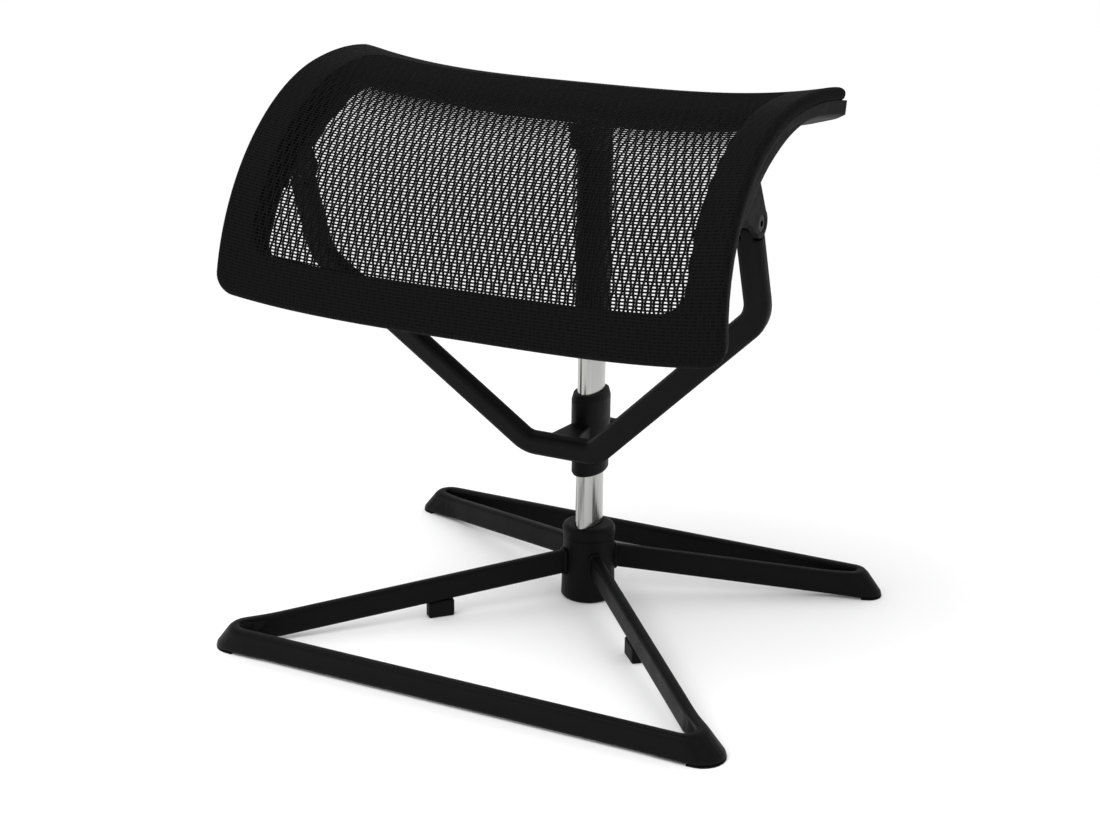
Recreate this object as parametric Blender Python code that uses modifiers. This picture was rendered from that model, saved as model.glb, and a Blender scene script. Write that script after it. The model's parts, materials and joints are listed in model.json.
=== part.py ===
"""Footrest ottoman: a mesh panel that tilts on a forked yoke, sliding on an oval column over a bar base.

Units are metres, +Z is up, the sitter's side is +Y.
The origin is the middle of the footprint on the floor.
"""
import math

import bmesh
import bpy
from mathutils import Matrix, Vector

# Clearance between pieces that touch
GAP = 0.0003

# Base: flat bars bent into two triangles, measured from the column's axis
FRONT_BAR_REACH = 0.261
REAR_BAR_REACH = 0.129
BAR_TALL = 0.022
BAR_THICK = 0.010
BAR_ROUND = 0.003
FRONT_CORNER_X = 0.2345
FRONT_BEND_R = 0.0135
REAR_CORNER_X = 0.254
REAR_BEND_R = 0.009
REAR_LEG_START = 0.010
LEG_RISE = 0.0255

# The bars' lower edges spread outwards at the corners, over a lead on both sides of each bend
FRONT_FLARE_X = 0.0175
FRONT_FLARE_LEG_Y = 0.007
FRONT_FLARE_BAR_Y = -0.004
REAR_FLARE_X = 0.0175
REAR_FLARE_LEG_Y = 0.0
REAR_FLARE_BAR_Y = 0.002
FLARE_LEAD = 0.028

# Pads under the corners, and glides under the front legs
FOOT_SOLE = 0.0015
FOOT_WIDE = 0.009
FOOT_INSET = 0.0014
FOOT_LEAD = 0.006
GLIDE_LONG = 0.024
GLIDE_WIDE = 0.010
GLIDE_REACH = 0.144
GLIDE_ROUND = 0.0015

# Hub
HUB_R = 0.0234
HUB_FLARE = 0.0015
HUB_WALL = 0.002
HUB_FOOT_Z = 0.0004
HUB_PLUG_TALL = 0.010
HUB_PLUG_INSET = 0.001
HUB_TUBE_TOP = 0.060
HUB_CAP_TALL = 0.011
HUB_CAP_LIP = 0.0008
HUB_CAP_ROUND = 0.004
HUB_PLUG_ROUND = 0.002
HUB_BOLT_R = 0.005
HUB_BOLT_HEAD_R = 0.0085
HUB_BOLT_HEAD_TALL = 0.006
HUB_SOCKET_R = 0.004
HUB_BOLT_GRIP = 0.022

# Column: oval tube, half sizes across X and Y
COLUMN_A = 0.010
COLUMN_B = 0.020
COLUMN_WALL = 0.0015
COLUMN_PLUG_TALL = 0.028
SHEATH_WALL = 0.0034
HEAD_TALL = 0.020
HEAD_NOSE = 0.017
BUMPER_TALL = 0.003

# Slider: sleeve on the column, bushes, clamp and knob
SLIDER_FOOT_Z = 0.123
SLIDER_TALL = 0.076
SLIDER_WALL_LOW = 0.0021
SLIDER_WALL_TOP = 0.0030
SLIDER_STEP_Z = 0.030
SLIDER_ROUND = 0.006
SLIDER_FOOT_ROUND = 0.002
SLIDER_LIP = 0.0010
SLIDER_TRAVEL = 0.060
SHEATH_GAP = 0.003
BUSH_WALL = 0.0018
BUSH_TALL = 0.013
NECK_WIDE = 0.026
NECK_TALL = 0.018
KNOB_ABOVE_FOOT = 0.022
BOSS_R = 0.009
BOSS_LONG = 0.010
STUD_R = 0.004
KNOB_R = 0.0145
KNOB_LONG = 0.016
KNOB_LOBES = 6
KNOB_LOBE_DEPTH = 0.0014
KNOB_SOCKET = 0.6
KNOB_STEPS = 36
SHOE_WIDE = 0.005
SHOE_TALL = 0.014

# Yoke: bar bent in one plane that leans forward
YOKE_AHEAD = 0.059
YOKE_ABOVE_SLIDER_FOOT = 0.040
YOKE_LEAN = math.radians(21.0)
YOKE_WIDE = 0.022
YOKE_THICK = 0.013
YOKE_ROUND = 0.004
YOKE_FLOOR_HALF = 0.033
YOKE_KNEE = 0.1744
YOKE_FLOOR_BEND_R = 0.018
YOKE_KNEE_BEND_R = 0.039
TONGUE_WIDE = 0.010
TONGUE_EASE = 0.001

# Pivot: fork bracket on each side of the panel
PIVOT_HEIGHT = 0.409
ARM_INSET = 0.0218
LUG_R = 0.0115
PIVOT_DROP = 0.0597
PIVOT_TANGENT = math.radians(41.4)
BRACKET_BASE = 0.046
BRACKET_WEB = 0.0115
BRACKET_TOP_STEPS = 8
LUG_STEPS = 10
BOLT_R = 0.004
BOLT_HEAD_R = 0.0065
BOLT_HEAD_TALL = 0.0032
SOCKET_R = 0.0028
PIVOT_BUSH_WALL = 0.0012
WASHER_R = 0.0098
WASHER_TALL = 0.0005
NUT_R = 0.0065
NUT_TALL = 0.0032

# Panel: saddle with two rolls front to back, dipping across its width
PANEL_HALF = 0.2258
PANEL_WAIST = 0.0084
PANEL_DIP_FRONT = 0.0102
PANEL_DIP_REAR = 0.0165
PANEL_DIP_POWER = 3.4
FRONT_ROLL_R = 0.1732
FRONT_ROLL_START = math.radians(90.7)
FRONT_ROLL = math.radians(82.4)
REAR_ROLL_R = 0.286
REAR_ROLL = math.radians(19.75)
FABRIC_THICK = 0.0010
RIM_SIDE = 0.029
RIM_REAR = 0.036
RIM_FRONT = 0.039
RIM_THICK = 0.0085
RIM_ROUND = 0.003
SHELL_SIDE = 0.037
SHELL_SLOPE = 0.17
SHELL_REAR_OUT = 0.010
SHELL_THICK = 0.0065
SHELL_SHADOW = 0.0006
SHELL_ROUND = 0.0018
SHELL_REAR_EXTRA = 0.0065
SHELL_REAR_DIP = 0.011
FRONT_CORNER_R = 0.016
REAR_CORNER_R = 0.007
WINDOW_CORNER_R = 0.022
SHELL_WINDOW_R = 0.010
SCREW_R = 0.0036
SCREW_TALL = 0.0022
SCREW_FRONT_A = 0.11
SCREW_SIDE_SHARES = (0.2, 0.65)

# Openings that stand for the open weave of the fabric
WEAVE_COLUMNS = 12
WEAVE_ROWS = 8
WEAVE_OPEN = 0.64
WEAVE_MARGIN = 0.004

# Derived places, from the column's axis
SLIDER_TOP = SLIDER_FOOT_Z + SLIDER_TALL
YOKE_ORIGIN = Vector((0.0, -YOKE_AHEAD, SLIDER_FOOT_Z + YOKE_ABOVE_SLIDER_FOOT))
YOKE_UP = Vector((0.0, -math.sin(YOKE_LEAN), math.cos(YOKE_LEAN)))
YOKE_FACE = Vector((0.0, -math.cos(YOKE_LEAN), -math.sin(YOKE_LEAN)))
YOKE_RISE = (PIVOT_HEIGHT - YOKE_ORIGIN.z) / YOKE_UP.z
YOKE_ARM_X = PANEL_HALF - ARM_INSET
PIVOT = YOKE_ORIGIN + YOKE_UP * YOKE_RISE
PANEL_LENGTH = FRONT_ROLL_R * FRONT_ROLL + REAR_ROLL_R * REAR_ROLL
RIM_TOP = -(FABRIC_THICK + 2 * GAP)
RIM_FOOT = RIM_TOP - RIM_THICK
SHELL_TOP = RIM_FOOT - SHELL_SHADOW
RIM_SHARES = (0.09, 0.38, 0.67, 0.95)
OVAL_STEPS = 32
ROUND_STEPS = 20


def start_scene():
    """Empties the scene and makes one collection for the parts and one for the cutters."""
    for thing in list(bpy.data.objects):
        bpy.data.objects.remove(thing, do_unlink=True)
    parts = bpy.data.collections.new("footrest_ottoman")
    tools = bpy.data.collections.new("cutters")
    bpy.context.scene.collection.children.link(parts)
    bpy.context.scene.collection.children.link(tools)
    return parts, tools


PARTS, CUTTERS = start_scene()


def make_material(name, color, roughness, metallic):
    finish = bpy.data.materials.new(name)
    finish.use_nodes = True
    shader = finish.node_tree.nodes["Principled BSDF"]
    shader.inputs["Base Color"].default_value = (*color, 1.0)
    shader.inputs["Roughness"].default_value = roughness
    shader.inputs["Metallic"].default_value = metallic
    return finish


POWDER_COAT = make_material("black_powder_coat", (0.012, 0.012, 0.014), 0.5, 0.0)
CHROME = make_material("chrome", (0.8, 0.8, 0.8), 0.12, 1.0)
BLACK_PLASTIC = make_material("black_plastic", (0.016, 0.016, 0.018), 0.45, 0.0)
GREY_PLASTIC = make_material("grey_plastic", (0.03, 0.03, 0.033), 0.5, 0.0)
NYLON = make_material("nylon", (0.5, 0.5, 0.48), 0.4, 0.0)
STEEL = make_material("steel", (0.35, 0.35, 0.36), 0.3, 1.0)
RUBBER = make_material("rubber", (0.02, 0.02, 0.02), 0.8, 0.0)
FABRIC = make_material("mesh_fabric", (0.012, 0.012, 0.013), 0.9, 0.0)


def place(name, mesh, finish, smooth=True):
    """Links a mesh as a part; without a finish it is kept aside as a cutter."""
    thing = bpy.data.objects.new(name, mesh)
    if smooth:
        mesh.shade_smooth()
        mesh.set_sharp_from_angle(angle=math.radians(35.0))
    if finish is None:
        CUTTERS.objects.link(thing)
        thing.hide_render = True
        thing.display_type = "WIRE"
    else:
        mesh.materials.append(finish)
        PARTS.objects.link(thing)
    return thing


def to_mesh(name, work):
    mesh = bpy.data.meshes.new(name)
    bmesh.ops.connect_verts_nonplanar(work, angle_limit=0.0002, faces=work.faces)
    bmesh.ops.recalc_face_normals(work, faces=work.faces)
    work.to_mesh(mesh)
    work.free()
    return mesh


def loft(name, rings, finish, looped=False):
    """Skins a row of rings with equal counts; looped joins the last ring to the first."""
    work = bmesh.new()
    rows = [[work.verts.new(point) for point in ring] for ring in rings]
    count = len(rings[0])
    pairs = list(zip(rows, rows[1:]))
    if looped:
        pairs.append((rows[-1], rows[0]))
    else:
        work.faces.new(rows[0])
        work.faces.new(rows[-1])
    for row, following in pairs:
        for i in range(count):
            j = (i + 1) % count
            work.faces.new((row[i], row[j], following[j], following[i]))
    return place(name, to_mesh(name, work), finish)


def cylinder(name, radius, low, high, finish, sides=ROUND_STEPS):
    """Cylinder between two points."""
    low = Vector(low)
    high = Vector(high)
    work = bmesh.new()
    bmesh.ops.create_cone(
        work, cap_ends=True, segments=sides, radius1=radius, radius2=radius, depth=(high - low).length
    )
    turn = (high - low).to_track_quat("Z", "Y").to_matrix().to_4x4()
    bmesh.ops.transform(work, matrix=Matrix.Translation((low + high) / 2) @ turn, verts=work.verts)
    return place(name, to_mesh(name, work), finish)


def block(name, size, matrix, finish):
    work = bmesh.new()
    bmesh.ops.create_cube(work, size=1.0)
    bmesh.ops.transform(work, matrix=matrix @ Matrix.Diagonal((*size, 1.0)), verts=work.verts)
    return place(name, to_mesh(name, work), finish, smooth=False)


def apply_boolean(thing, other, operation):
    step = thing.modifiers.new(operation.lower(), "BOOLEAN")
    step.operation = operation
    step.object = other


def cut(thing, *others):
    for other in others:
        apply_boolean(thing, other, "DIFFERENCE")


def fuse(thing, *others):
    for other in others:
        apply_boolean(thing, other, "UNION")


def from_curve(name, curve, matrix, finish):
    """Turns a curve with filled ends into a closed part."""
    guide = bpy.data.objects.new(name + "_curve", curve)
    CUTTERS.objects.link(guide)
    bpy.context.view_layer.update()
    graph = bpy.context.evaluated_depsgraph_get()
    work = bmesh.new()
    work.from_mesh(bpy.data.meshes.new_from_object(guide.evaluated_get(graph)))
    bmesh.ops.remove_doubles(work, verts=work.verts, dist=0.00001)
    bmesh.ops.transform(work, matrix=matrix, verts=work.verts)
    bpy.data.objects.remove(guide, do_unlink=True)
    return place(name, to_mesh(name, work), finish)


def add_outline(curve, points):
    """Adds a closed polygon to a flat curve."""
    spline = curve.splines.new("POLY")
    spline.points.add(len(points) - 1)
    for point, (x, y) in zip(spline.points, points):
        point.co = (x, y, 0.0, 1.0)
    spline.use_cyclic_u = True


def extruded(name, outlines, low, high, finish):
    """Flat outlines, the second one a hole, raised from low to high."""
    curve = bpy.data.curves.new(name + "_outline", "CURVE")
    curve.dimensions = "2D"
    curve.fill_mode = "BOTH"
    curve.extrude = (high - low) / 2
    for points in outlines:
        add_outline(curve, points)
    return from_curve(name, curve, Matrix.Translation((0, 0, (low + high) / 2)), finish)


def turned(name, profile, finish, closed=False):
    """Part turned round the column's axis; the profile of (radius, z) runs down its outer side."""
    mesh = bpy.data.meshes.new(name)
    edges = [(i, i + 1) for i in range(len(profile) - 1)]
    if closed:
        edges.append((len(profile) - 1, 0))
    mesh.from_pydata([(radius, 0.0, z) for radius, z in profile], edges, [])
    thing = place(name, mesh, finish, smooth=False)
    screw = thing.modifiers.new("turn", "SCREW")
    screw.axis = "Z"
    screw.steps = OVAL_STEPS
    screw.render_steps = OVAL_STEPS
    screw.use_merge_vertices = True
    screw.merge_threshold = 0.00001
    screw.use_smooth_shade = True
    return thing


def round_turns(steps):
    return [2 * math.pi * i / steps for i in range(steps)]


def oval(half_x, half_y, z, y=0.0):
    return [(half_x * math.cos(turn), y + half_y * math.sin(turn), z) for turn in round_turns(OVAL_STEPS)]


def column_oval(extra, z):
    """Level oval round the column's axis, larger than the tube by extra all round."""
    return oval(COLUMN_A + extra, COLUMN_B + extra, z)


def oval_outline(extra):
    return [(x, y) for x, y, z in column_oval(extra, 0.0)]


def oval_bar(name, extra, low, high, finish):
    return extruded(name, [oval_outline(extra)], low, high, finish)


def oval_tube(name, outer, inner, low, high, finish):
    """Straight oval tube; outer and inner are measured from the column's surface."""
    return extruded(name, [oval_outline(outer), oval_outline(inner)], low, high, finish)


def fillet_path(corners, radii, steps):
    """Polyline through the corners, with each inner corner rounded by its radius."""
    path = [corners[0]]
    for before, corner, after, radius in zip(corners, corners[1:], corners[2:], radii):
        back = (before - corner).normalized()
        on = (after - corner).normalized()
        half = back.angle(on) / 2
        middle = corner + (back + on).normalized() * (radius / math.sin(half))
        start = corner + back * (radius / math.tan(half)) - middle
        end = corner + on * (radius / math.tan(half)) - middle
        axis = start.cross(end)
        sweep = math.pi - 2 * half
        for i in range(steps + 1):
            path.append(middle + Matrix.Rotation(sweep * i / steps, 3, axis) @ start)
    path.append(corners[-1])
    return path


def bar_along(name, path, wide, tall, rounding, matrix, finish):
    """Flat bar with rounded edges along a path: wide is measured level, tall is measured upright."""
    section = bpy.data.curves.new(name + "_section", "CURVE")
    section.dimensions = "2D"
    points = []
    for sign_x, sign_y, start in ((1, 1, 0), (-1, 1, 90), (-1, -1, 180), (1, -1, 270)):
        for step in range(3):
            turn = math.radians(start + 45 * step)
            x = sign_x * (wide / 2 - rounding) + rounding * math.cos(turn)
            y = sign_y * (tall / 2 - rounding) + rounding * math.sin(turn)
            points.append((x, y))
    add_outline(section, points)
    section_guide = bpy.data.objects.new(name + "_section", section)
    CUTTERS.objects.link(section_guide)

    rail = bpy.data.curves.new(name + "_path", "CURVE")
    rail.dimensions = "3D"
    rail.twist_mode = "Z_UP"
    rail.bevel_mode = "OBJECT"
    rail.bevel_object = section_guide
    rail.use_fill_caps = True
    spline = rail.splines.new("POLY")
    spline.points.add(len(path) - 1)
    for point, position in zip(spline.points, path):
        point.co = (*position, 1.0)
    bar = from_curve(name, rail, matrix, finish)
    bpy.data.objects.remove(section_guide, do_unlink=True)
    return bar


# Base

BAR_MID_Z = FOOT_SOLE + GAP + BAR_TALL / 2
HUB_BAR_REACH = 0.85 * HUB_R


def loop_corners(corner_x, corner_y, start_y):
    """Corners of one loop's centre line: hub, outer corner, outer corner, hub."""
    outer = Vector((corner_x, corner_y, BAR_MID_Z))
    hub = Vector((0.0, start_y, BAR_MID_Z + LEG_RISE))
    inner = hub + (outer - hub).normalized() * HUB_BAR_REACH
    mirror = Vector((-1.0, 1.0, 1.0))
    return [inner * mirror, outer * mirror, outer, inner]


FRONT_LOOP = loop_corners(FRONT_CORNER_X, -FRONT_BAR_REACH, 0.0)
REAR_LOOP = loop_corners(REAR_CORNER_X, REAR_BAR_REACH, REAR_LEG_START)
FRONT_FLARE = [Vector((FRONT_FLARE_X, y, 0.0)) for y in (FRONT_FLARE_LEG_Y, FRONT_FLARE_BAR_Y)]
REAR_FLARE = [Vector((REAR_FLARE_X, y, 0.0)) for y in (REAR_FLARE_LEG_Y, REAR_FLARE_BAR_Y)]
CORNER_STEPS = 8
LEAD_STEPS = 5
ROUND_BAR_STEPS = 2


def along_line(start, end, distances):
    """Points at distances from start towards end."""
    way = (end - start).normalized()
    return [start + way * distance for distance in distances]


def corner_path(corners, radius, side, lead):
    """Level path round one outer corner, from its leg to its bar, with steps over the leads."""
    nearest = corners[:3] if side < 0 else corners[:0:-1]
    leg_end, corner, bar_end = (point * Vector((1, 1, 0)) for point in nearest)
    bend = fillet_path([leg_end, corner, bar_end], (radius,), CORNER_STEPS)[1:-1]
    reaches = [lead * (i + 1) / LEAD_STEPS for i in range(LEAD_STEPS)]
    leg = along_line(bend[0], leg_end, reaches)
    bar = along_line(bend[-1], bar_end, reaches)
    return leg[::-1] + bend + bar


def path_lengths(path):
    lengths = [0.0]
    for point, following in zip(path, path[1:]):
        lengths.append(lengths[-1] + (following - point).length)
    return lengths


def outward(path, i, way):
    """Level direction square to the path at one of its points, to the right of it for way 1."""
    ahead = Vector()
    for j in range(max(i - 1, 0), min(i + 1, len(path) - 1)):
        ahead += (path[j + 1] - path[j]).normalized()
    return Vector((ahead.y, -ahead.x, 0.0)).normalized() * way


def corner_flares(path, flare, side):
    """Flare at each point of a corner path: full round the bend, none at both ends of its leads."""
    lengths = path_lengths(path)
    whole = lengths[-1]
    flares = []
    for length in lengths:
        lead = min(min(length, whole - length) / FLARE_LEAD, 1.0)
        share = lead ** 2 * (3 - 2 * lead)
        turned_flare = flare[0].lerp(flare[1], length / whole)
        flares.append(turned_flare * share * Vector((side, 1, 1)))
    return flares


def hub_outline(over):
    """Outside of the hub from over its tube down to below its foot, as (radius, z) for a turned solid."""
    top = HUB_TUBE_TOP + over
    low = HUB_FOOT_Z - over
    foot_r = HUB_R + HUB_FLARE
    return [(0, top), (HUB_R, top), (HUB_R, HUB_TUBE_TOP), (foot_r, HUB_FOOT_Z), (foot_r, low), (0, low)]


def leg_lift(corners, radius, point):
    """Height a leg has gained at a level point on it: a slow start from its bend, then straight."""
    side = math.copysign(1, point.x)
    bend = corner_path(corners, radius, side, FLARE_LEAD)[LEAD_STEPS]
    hub_end = corners[0] if side < 0 else corners[-1]
    run = (hub_end - bend).xy.length
    slope = (hub_end.z - BAR_MID_Z) / (run - FLARE_LEAD / 2)
    reach = (point - bend).xy.length
    if reach < FLARE_LEAD:
        return slope * reach ** 2 / (2 * FLARE_LEAD)
    return slope * (reach - FLARE_LEAD / 2)


def bar_section(out, flare):
    """Upright section of a flat bar from its lower edge, sheared outwards at its foot by the flare."""
    section = []
    for across, up, start in ((1, 0, -90), (1, 1, 0), (-1, 1, 90), (-1, 0, 180)):
        reach = across * (BAR_THICK / 2 - BAR_ROUND)
        height = BAR_TALL - BAR_ROUND if up else BAR_ROUND
        for step in range(ROUND_BAR_STEPS + 1):
            turn = math.radians(start + 90 * step / ROUND_BAR_STEPS)
            section.append((reach + BAR_ROUND * math.cos(turn), height + BAR_ROUND * math.sin(turn)))
    return [out * reach + flare * (1 - z / BAR_TALL) + Vector((0, 0, z)) for reach, z in section]


def make_leg_loop(name, corners, radius, flare, way):
    """Flat bar bent round two corners, with its ends in the hub and its corners flared."""
    low = FOOT_SOLE + GAP
    path = [corners[0] * Vector((1, 1, 0))]
    flares = [Vector()]
    for side in (-1, 1):
        round_corner = corner_path(corners, radius, side, FLARE_LEAD)
        path += round_corner[::-side]
        flares += corner_flares(round_corner, flare, side)[::-side]
    path.append(corners[-1] * Vector((1, 1, 0)))
    flares.append(Vector())
    rings = []
    for i, point in enumerate(path):
        on_leg = min(i, len(path) - 1 - i) <= LEAD_STEPS
        lift = leg_lift(corners, radius, point) if on_leg else 0.0
        foot = point + Vector((0, 0, low + lift))
        rings.append([foot + offset for offset in bar_section(outward(path, i, way), flares[i])])
    loop = loft(name, rings, POWDER_COAT)
    space = [(radius + GAP if radius else 0, z) for radius, z in hub_outline(BAR_TALL)]
    cut(loop, turned(name + "_hub_space", space, None))
    return loop


def make_corner_foot(name, corners, radius, flare, way, side):
    """Thin pad under one flared corner."""
    path = corner_path(corners, radius, side, FLARE_LEAD)
    flares = corner_flares(path, flare, side)
    lengths = path_lengths(path)
    outer = BAR_THICK / 2 - FOOT_INSET
    inner = outer - FOOT_WIDE
    rings = []
    for i, point in enumerate(path):
        if min(lengths[i], lengths[-1] - lengths[i]) < FLARE_LEAD - FOOT_LEAD:
            continue
        out = outward(path, i, -side * way)
        middle = point + flares[i]
        section = ((outer, 0.0), (outer, FOOT_SOLE), (inner, FOOT_SOLE), (inner, 0.0))
        rings.append([middle + out * reach + Vector((0, 0, z)) for reach, z in section])
    loft(name, rings, RUBBER)


def make_glide(name, side):
    """Block under a front leg that reaches the floor."""
    along = FRONT_LOOP[2].xy.normalized().to_3d()
    across = Vector((-along.y, along.x, 0.0)) * GLIDE_WIDE / 2
    rings = []
    for offset in (-GLIDE_LONG / 2, GLIDE_LONG / 2):
        middle = along * (GLIDE_REACH + offset)
        top = Vector((0, 0, FOOT_SOLE + leg_lift(FRONT_LOOP, FRONT_BEND_R, middle)))
        ring = [middle + across, middle - across, middle - across + top, middle + across + top]
        rings.append([(side * point.x, point.y, point.z) for point in ring])
    glide = loft(name, rings, RUBBER)
    rounding = glide.modifiers.new("rounding", "BEVEL")
    rounding.width = GLIDE_ROUND
    rounding.segments = 2


def make_hub():
    plug_top = HUB_FOOT_Z + HUB_PLUG_TALL
    inside_low = plug_top + GAP
    bore_r = HUB_R - HUB_WALL
    foot_r = HUB_R + HUB_FLARE
    tube = ((HUB_R, HUB_TUBE_TOP), (foot_r, HUB_FOOT_Z + HUB_PLUG_ROUND),
            (foot_r - HUB_PLUG_ROUND, HUB_FOOT_Z), (bore_r, HUB_FOOT_Z), (bore_r, HUB_TUBE_TOP))
    turned("hub_tube", tube, POWDER_COAT, closed=True)

    cap_low = HUB_TUBE_TOP + GAP
    cap_top = cap_low + HUB_CAP_TALL
    cap_r = HUB_R + HUB_CAP_LIP
    ease = HUB_CAP_ROUND * 0.3
    cap_shape = ((0, cap_top), (cap_r - HUB_CAP_ROUND, cap_top), (cap_r - ease, cap_top - ease),
                 (cap_r, cap_top - HUB_CAP_ROUND), (cap_r, cap_low), (0, cap_low))
    cap = turned("hub_cap", cap_shape, BLACK_PLASTIC)
    oval_hole = oval_bar("hub_oval_hole", GAP, 0.0, cap_top + HUB_CAP_TALL, None)
    cut(cap, oval_hole)
    inner_r = bore_r - GAP
    insert = turned("hub_insert", ((0, HUB_TUBE_TOP), (inner_r, HUB_TUBE_TOP), (inner_r, inside_low),
                                   (0, inside_low)), NYLON)
    cut(insert, oval_hole)

    plug_low = HUB_FOOT_Z + HUB_PLUG_INSET
    head_top = plug_low + HUB_BOLT_HEAD_TALL
    seat_r = HUB_BOLT_HEAD_R + GAP
    hole_r = HUB_BOLT_R + GAP
    turned("hub_plug", ((hole_r, plug_top), (inner_r, plug_top), (inner_r, plug_low), (seat_r, plug_low),
                        (seat_r, head_top + GAP), (hole_r, head_top + GAP)), RUBBER, closed=True)
    shank_top = plug_top + HUB_BOLT_GRIP
    socket_top = plug_low + HUB_BOLT_HEAD_TALL / 2
    bolt_shape = ((0, shank_top), (HUB_BOLT_R, shank_top), (HUB_BOLT_R, head_top),
                  (HUB_BOLT_HEAD_R, head_top), (HUB_BOLT_HEAD_R, plug_low), (0, plug_low))
    bolt = turned("column_bolt", bolt_shape, STEEL)
    cut(bolt, cylinder("bolt_socket", HUB_SOCKET_R, (0, 0, 0), (0, 0, socket_top), None, 6))
    inside = -(COLUMN_WALL + GAP)
    column_plug = oval_bar("column_plug", inside, inside_low, plug_top + COLUMN_PLUG_TALL, STEEL)
    cut(column_plug, cylinder("column_plug_hole", hole_r, (0, 0, 0), (0, 0, cap_top), None))


# Panel surface


def profile(s):
    """Point on the panel's side profile and its outward normal, s metres from the front lower edge."""
    lift = Vector((0.0, -math.sin(PIVOT_TANGENT), math.cos(PIVOT_TANGENT)))
    front_centre = PIVOT - lift * (FRONT_ROLL_R - PIVOT_DROP)
    join = FRONT_ROLL_START - FRONT_ROLL
    if s <= FRONT_ROLL_R * FRONT_ROLL:
        tangent = FRONT_ROLL_START - s / FRONT_ROLL_R
        centre = front_centre
        radius = FRONT_ROLL_R
    else:
        tangent = join - (s - FRONT_ROLL_R * FRONT_ROLL) / REAR_ROLL_R
        join_normal = Vector((0.0, -math.sin(join), math.cos(join)))
        centre = front_centre - join_normal * (REAR_ROLL_R - FRONT_ROLL_R)
        radius = REAR_ROLL_R
    normal = Vector((0.0, -math.sin(tangent), math.cos(tangent)))
    return centre + normal * radius, normal


def panel_point(a, s, h):
    """Point on the saddle: a across, s along the profile, h above the fabric's upper face."""
    base, normal = profile(s)
    swing = 2 * s / PANEL_LENGTH - 1
    x = a * (1 - PANEL_WAIST / PANEL_HALF * (1 - swing * swing))
    depth = PANEL_DIP_FRONT + (PANEL_DIP_REAR - PANEL_DIP_FRONT) * s / PANEL_LENGTH
    dip = depth * (1 - abs(x / PANEL_HALF) ** PANEL_DIP_POWER)
    point = base + normal * h
    return Vector((x, point.y, point.z - dip))


def shell_foot(a, s):
    """Height of the shell's under face: the shell deepens towards its rear rail and its middle."""
    share = min(max((s / PANEL_LENGTH - 0.55) / 0.4, 0.0), 1.0)
    ease = share * share * (3 - 2 * share)
    middle = 1 - min(abs(a) / PANEL_HALF, 1.0) ** 2
    return SHELL_TOP - SHELL_THICK - ease * (SHELL_REAR_EXTRA + SHELL_REAR_DIP * middle)


def spread(u):
    """Shares from -1 to 1 drawn towards both ends, where the saddle turns up most."""
    return 1.25 * u - 0.25 * u ** 3


def rounded_outline(side, front, rear, front_r, rear_r):
    """Outline of the panel in (a, s), inset from its sides and ends, with arcs at its corners."""
    half = PANEL_HALF - side
    low = front
    high = PANEL_LENGTH - rear
    outline = []
    arc_steps = 4
    side_steps = 20
    end_steps = 14
    arcs = []
    for a, s, radius, start in ((half, low, front_r, -90), (half, high, rear_r, 0),
                                (-half, high, rear_r, 90), (-half, low, front_r, 180)):
        centre_a = a - math.copysign(radius, a)
        centre_s = s + radius if s == low else s - radius
        arc = []
        for i in range(arc_steps + 1):
            turn = math.radians(start + 90 * i / arc_steps)
            arc.append((centre_a + radius * math.cos(turn), centre_s + radius * math.sin(turn)))
        arcs.append(arc)
    steps_of = (side_steps, end_steps, side_steps, end_steps)
    for arc, following, steps in zip(arcs, arcs[1:] + arcs[:1], steps_of):
        outline += arc
        for i in range(1, steps):
            share = (1 + spread(2 * i / steps - 1)) / 2
            outline.append(tuple(p + (q - p) * share for p, q in zip(arc[-1], following[0])))
    return outline


def panel_ring(name, outer, inner, section, finish):
    """Frame round the panel's window; section gives (share from outer to inner edge, height)."""
    rings = []
    for (a_out, s_out), (a_in, s_in) in zip(outer, inner):
        ring = []
        for share, height in section:
            a = a_out + (a_in - a_out) * share
            s = s_out + (s_in - s_out) * share
            h = height(a, s) if callable(height) else height
            ring.append(panel_point(a, s, h))
        rings.append(ring)
    return loft(name, rings, finish, looped=True)


def make_panel():
    edge = rounded_outline(0.0, 0.0, 0.0, FRONT_CORNER_R, REAR_CORNER_R)
    window = rounded_outline(RIM_SIDE, RIM_FRONT, RIM_REAR, WINDOW_CORNER_R, WINDOW_CORNER_R)
    rim = [(share, RIM_TOP) for share in RIM_SHARES]
    rim += [(1.0, RIM_TOP - RIM_ROUND / 2)]
    rim += [(share, RIM_FOOT) for share in (1.0, *RIM_SHARES[::-1])]
    rim += [(0.0, RIM_FOOT + RIM_ROUND), (0.0, RIM_TOP - RIM_ROUND)]
    panel_ring("mesh_frame", edge, window, rim, BLACK_PLASTIC)
    shell_edge = rounded_outline(0.0, 0.0, -SHELL_REAR_OUT, FRONT_CORNER_R, REAR_CORNER_R)
    shell_window = rounded_outline(SHELL_SIDE, RIM_FRONT, RIM_REAR, SHELL_WINDOW_R, SHELL_WINDOW_R)
    shell = [(share, SHELL_TOP) for share in (0.0, *RIM_SHARES[:-1], 1.0 - SHELL_SLOPE)]
    shell += [(share, shell_foot) for share in (1.0, *RIM_SHARES[::-1])]
    shell += [(0.0, lambda a, s: shell_foot(a, s) + SHELL_ROUND)]
    panel_ring("panel_shell", shell_edge, shell_window, shell, GREY_PLASTIC)
    make_fabric()
    make_shell_screws()


def opening_lines(low, high, count):
    """Places of both edges of each of count openings between low and high."""
    pitch = (high - low) / count
    lines = []
    for i in range(count):
        middle = low + pitch * (i + 0.5)
        lines += [middle - pitch * WEAVE_OPEN / 2, middle + pitch * WEAVE_OPEN / 2]
    return lines


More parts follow.
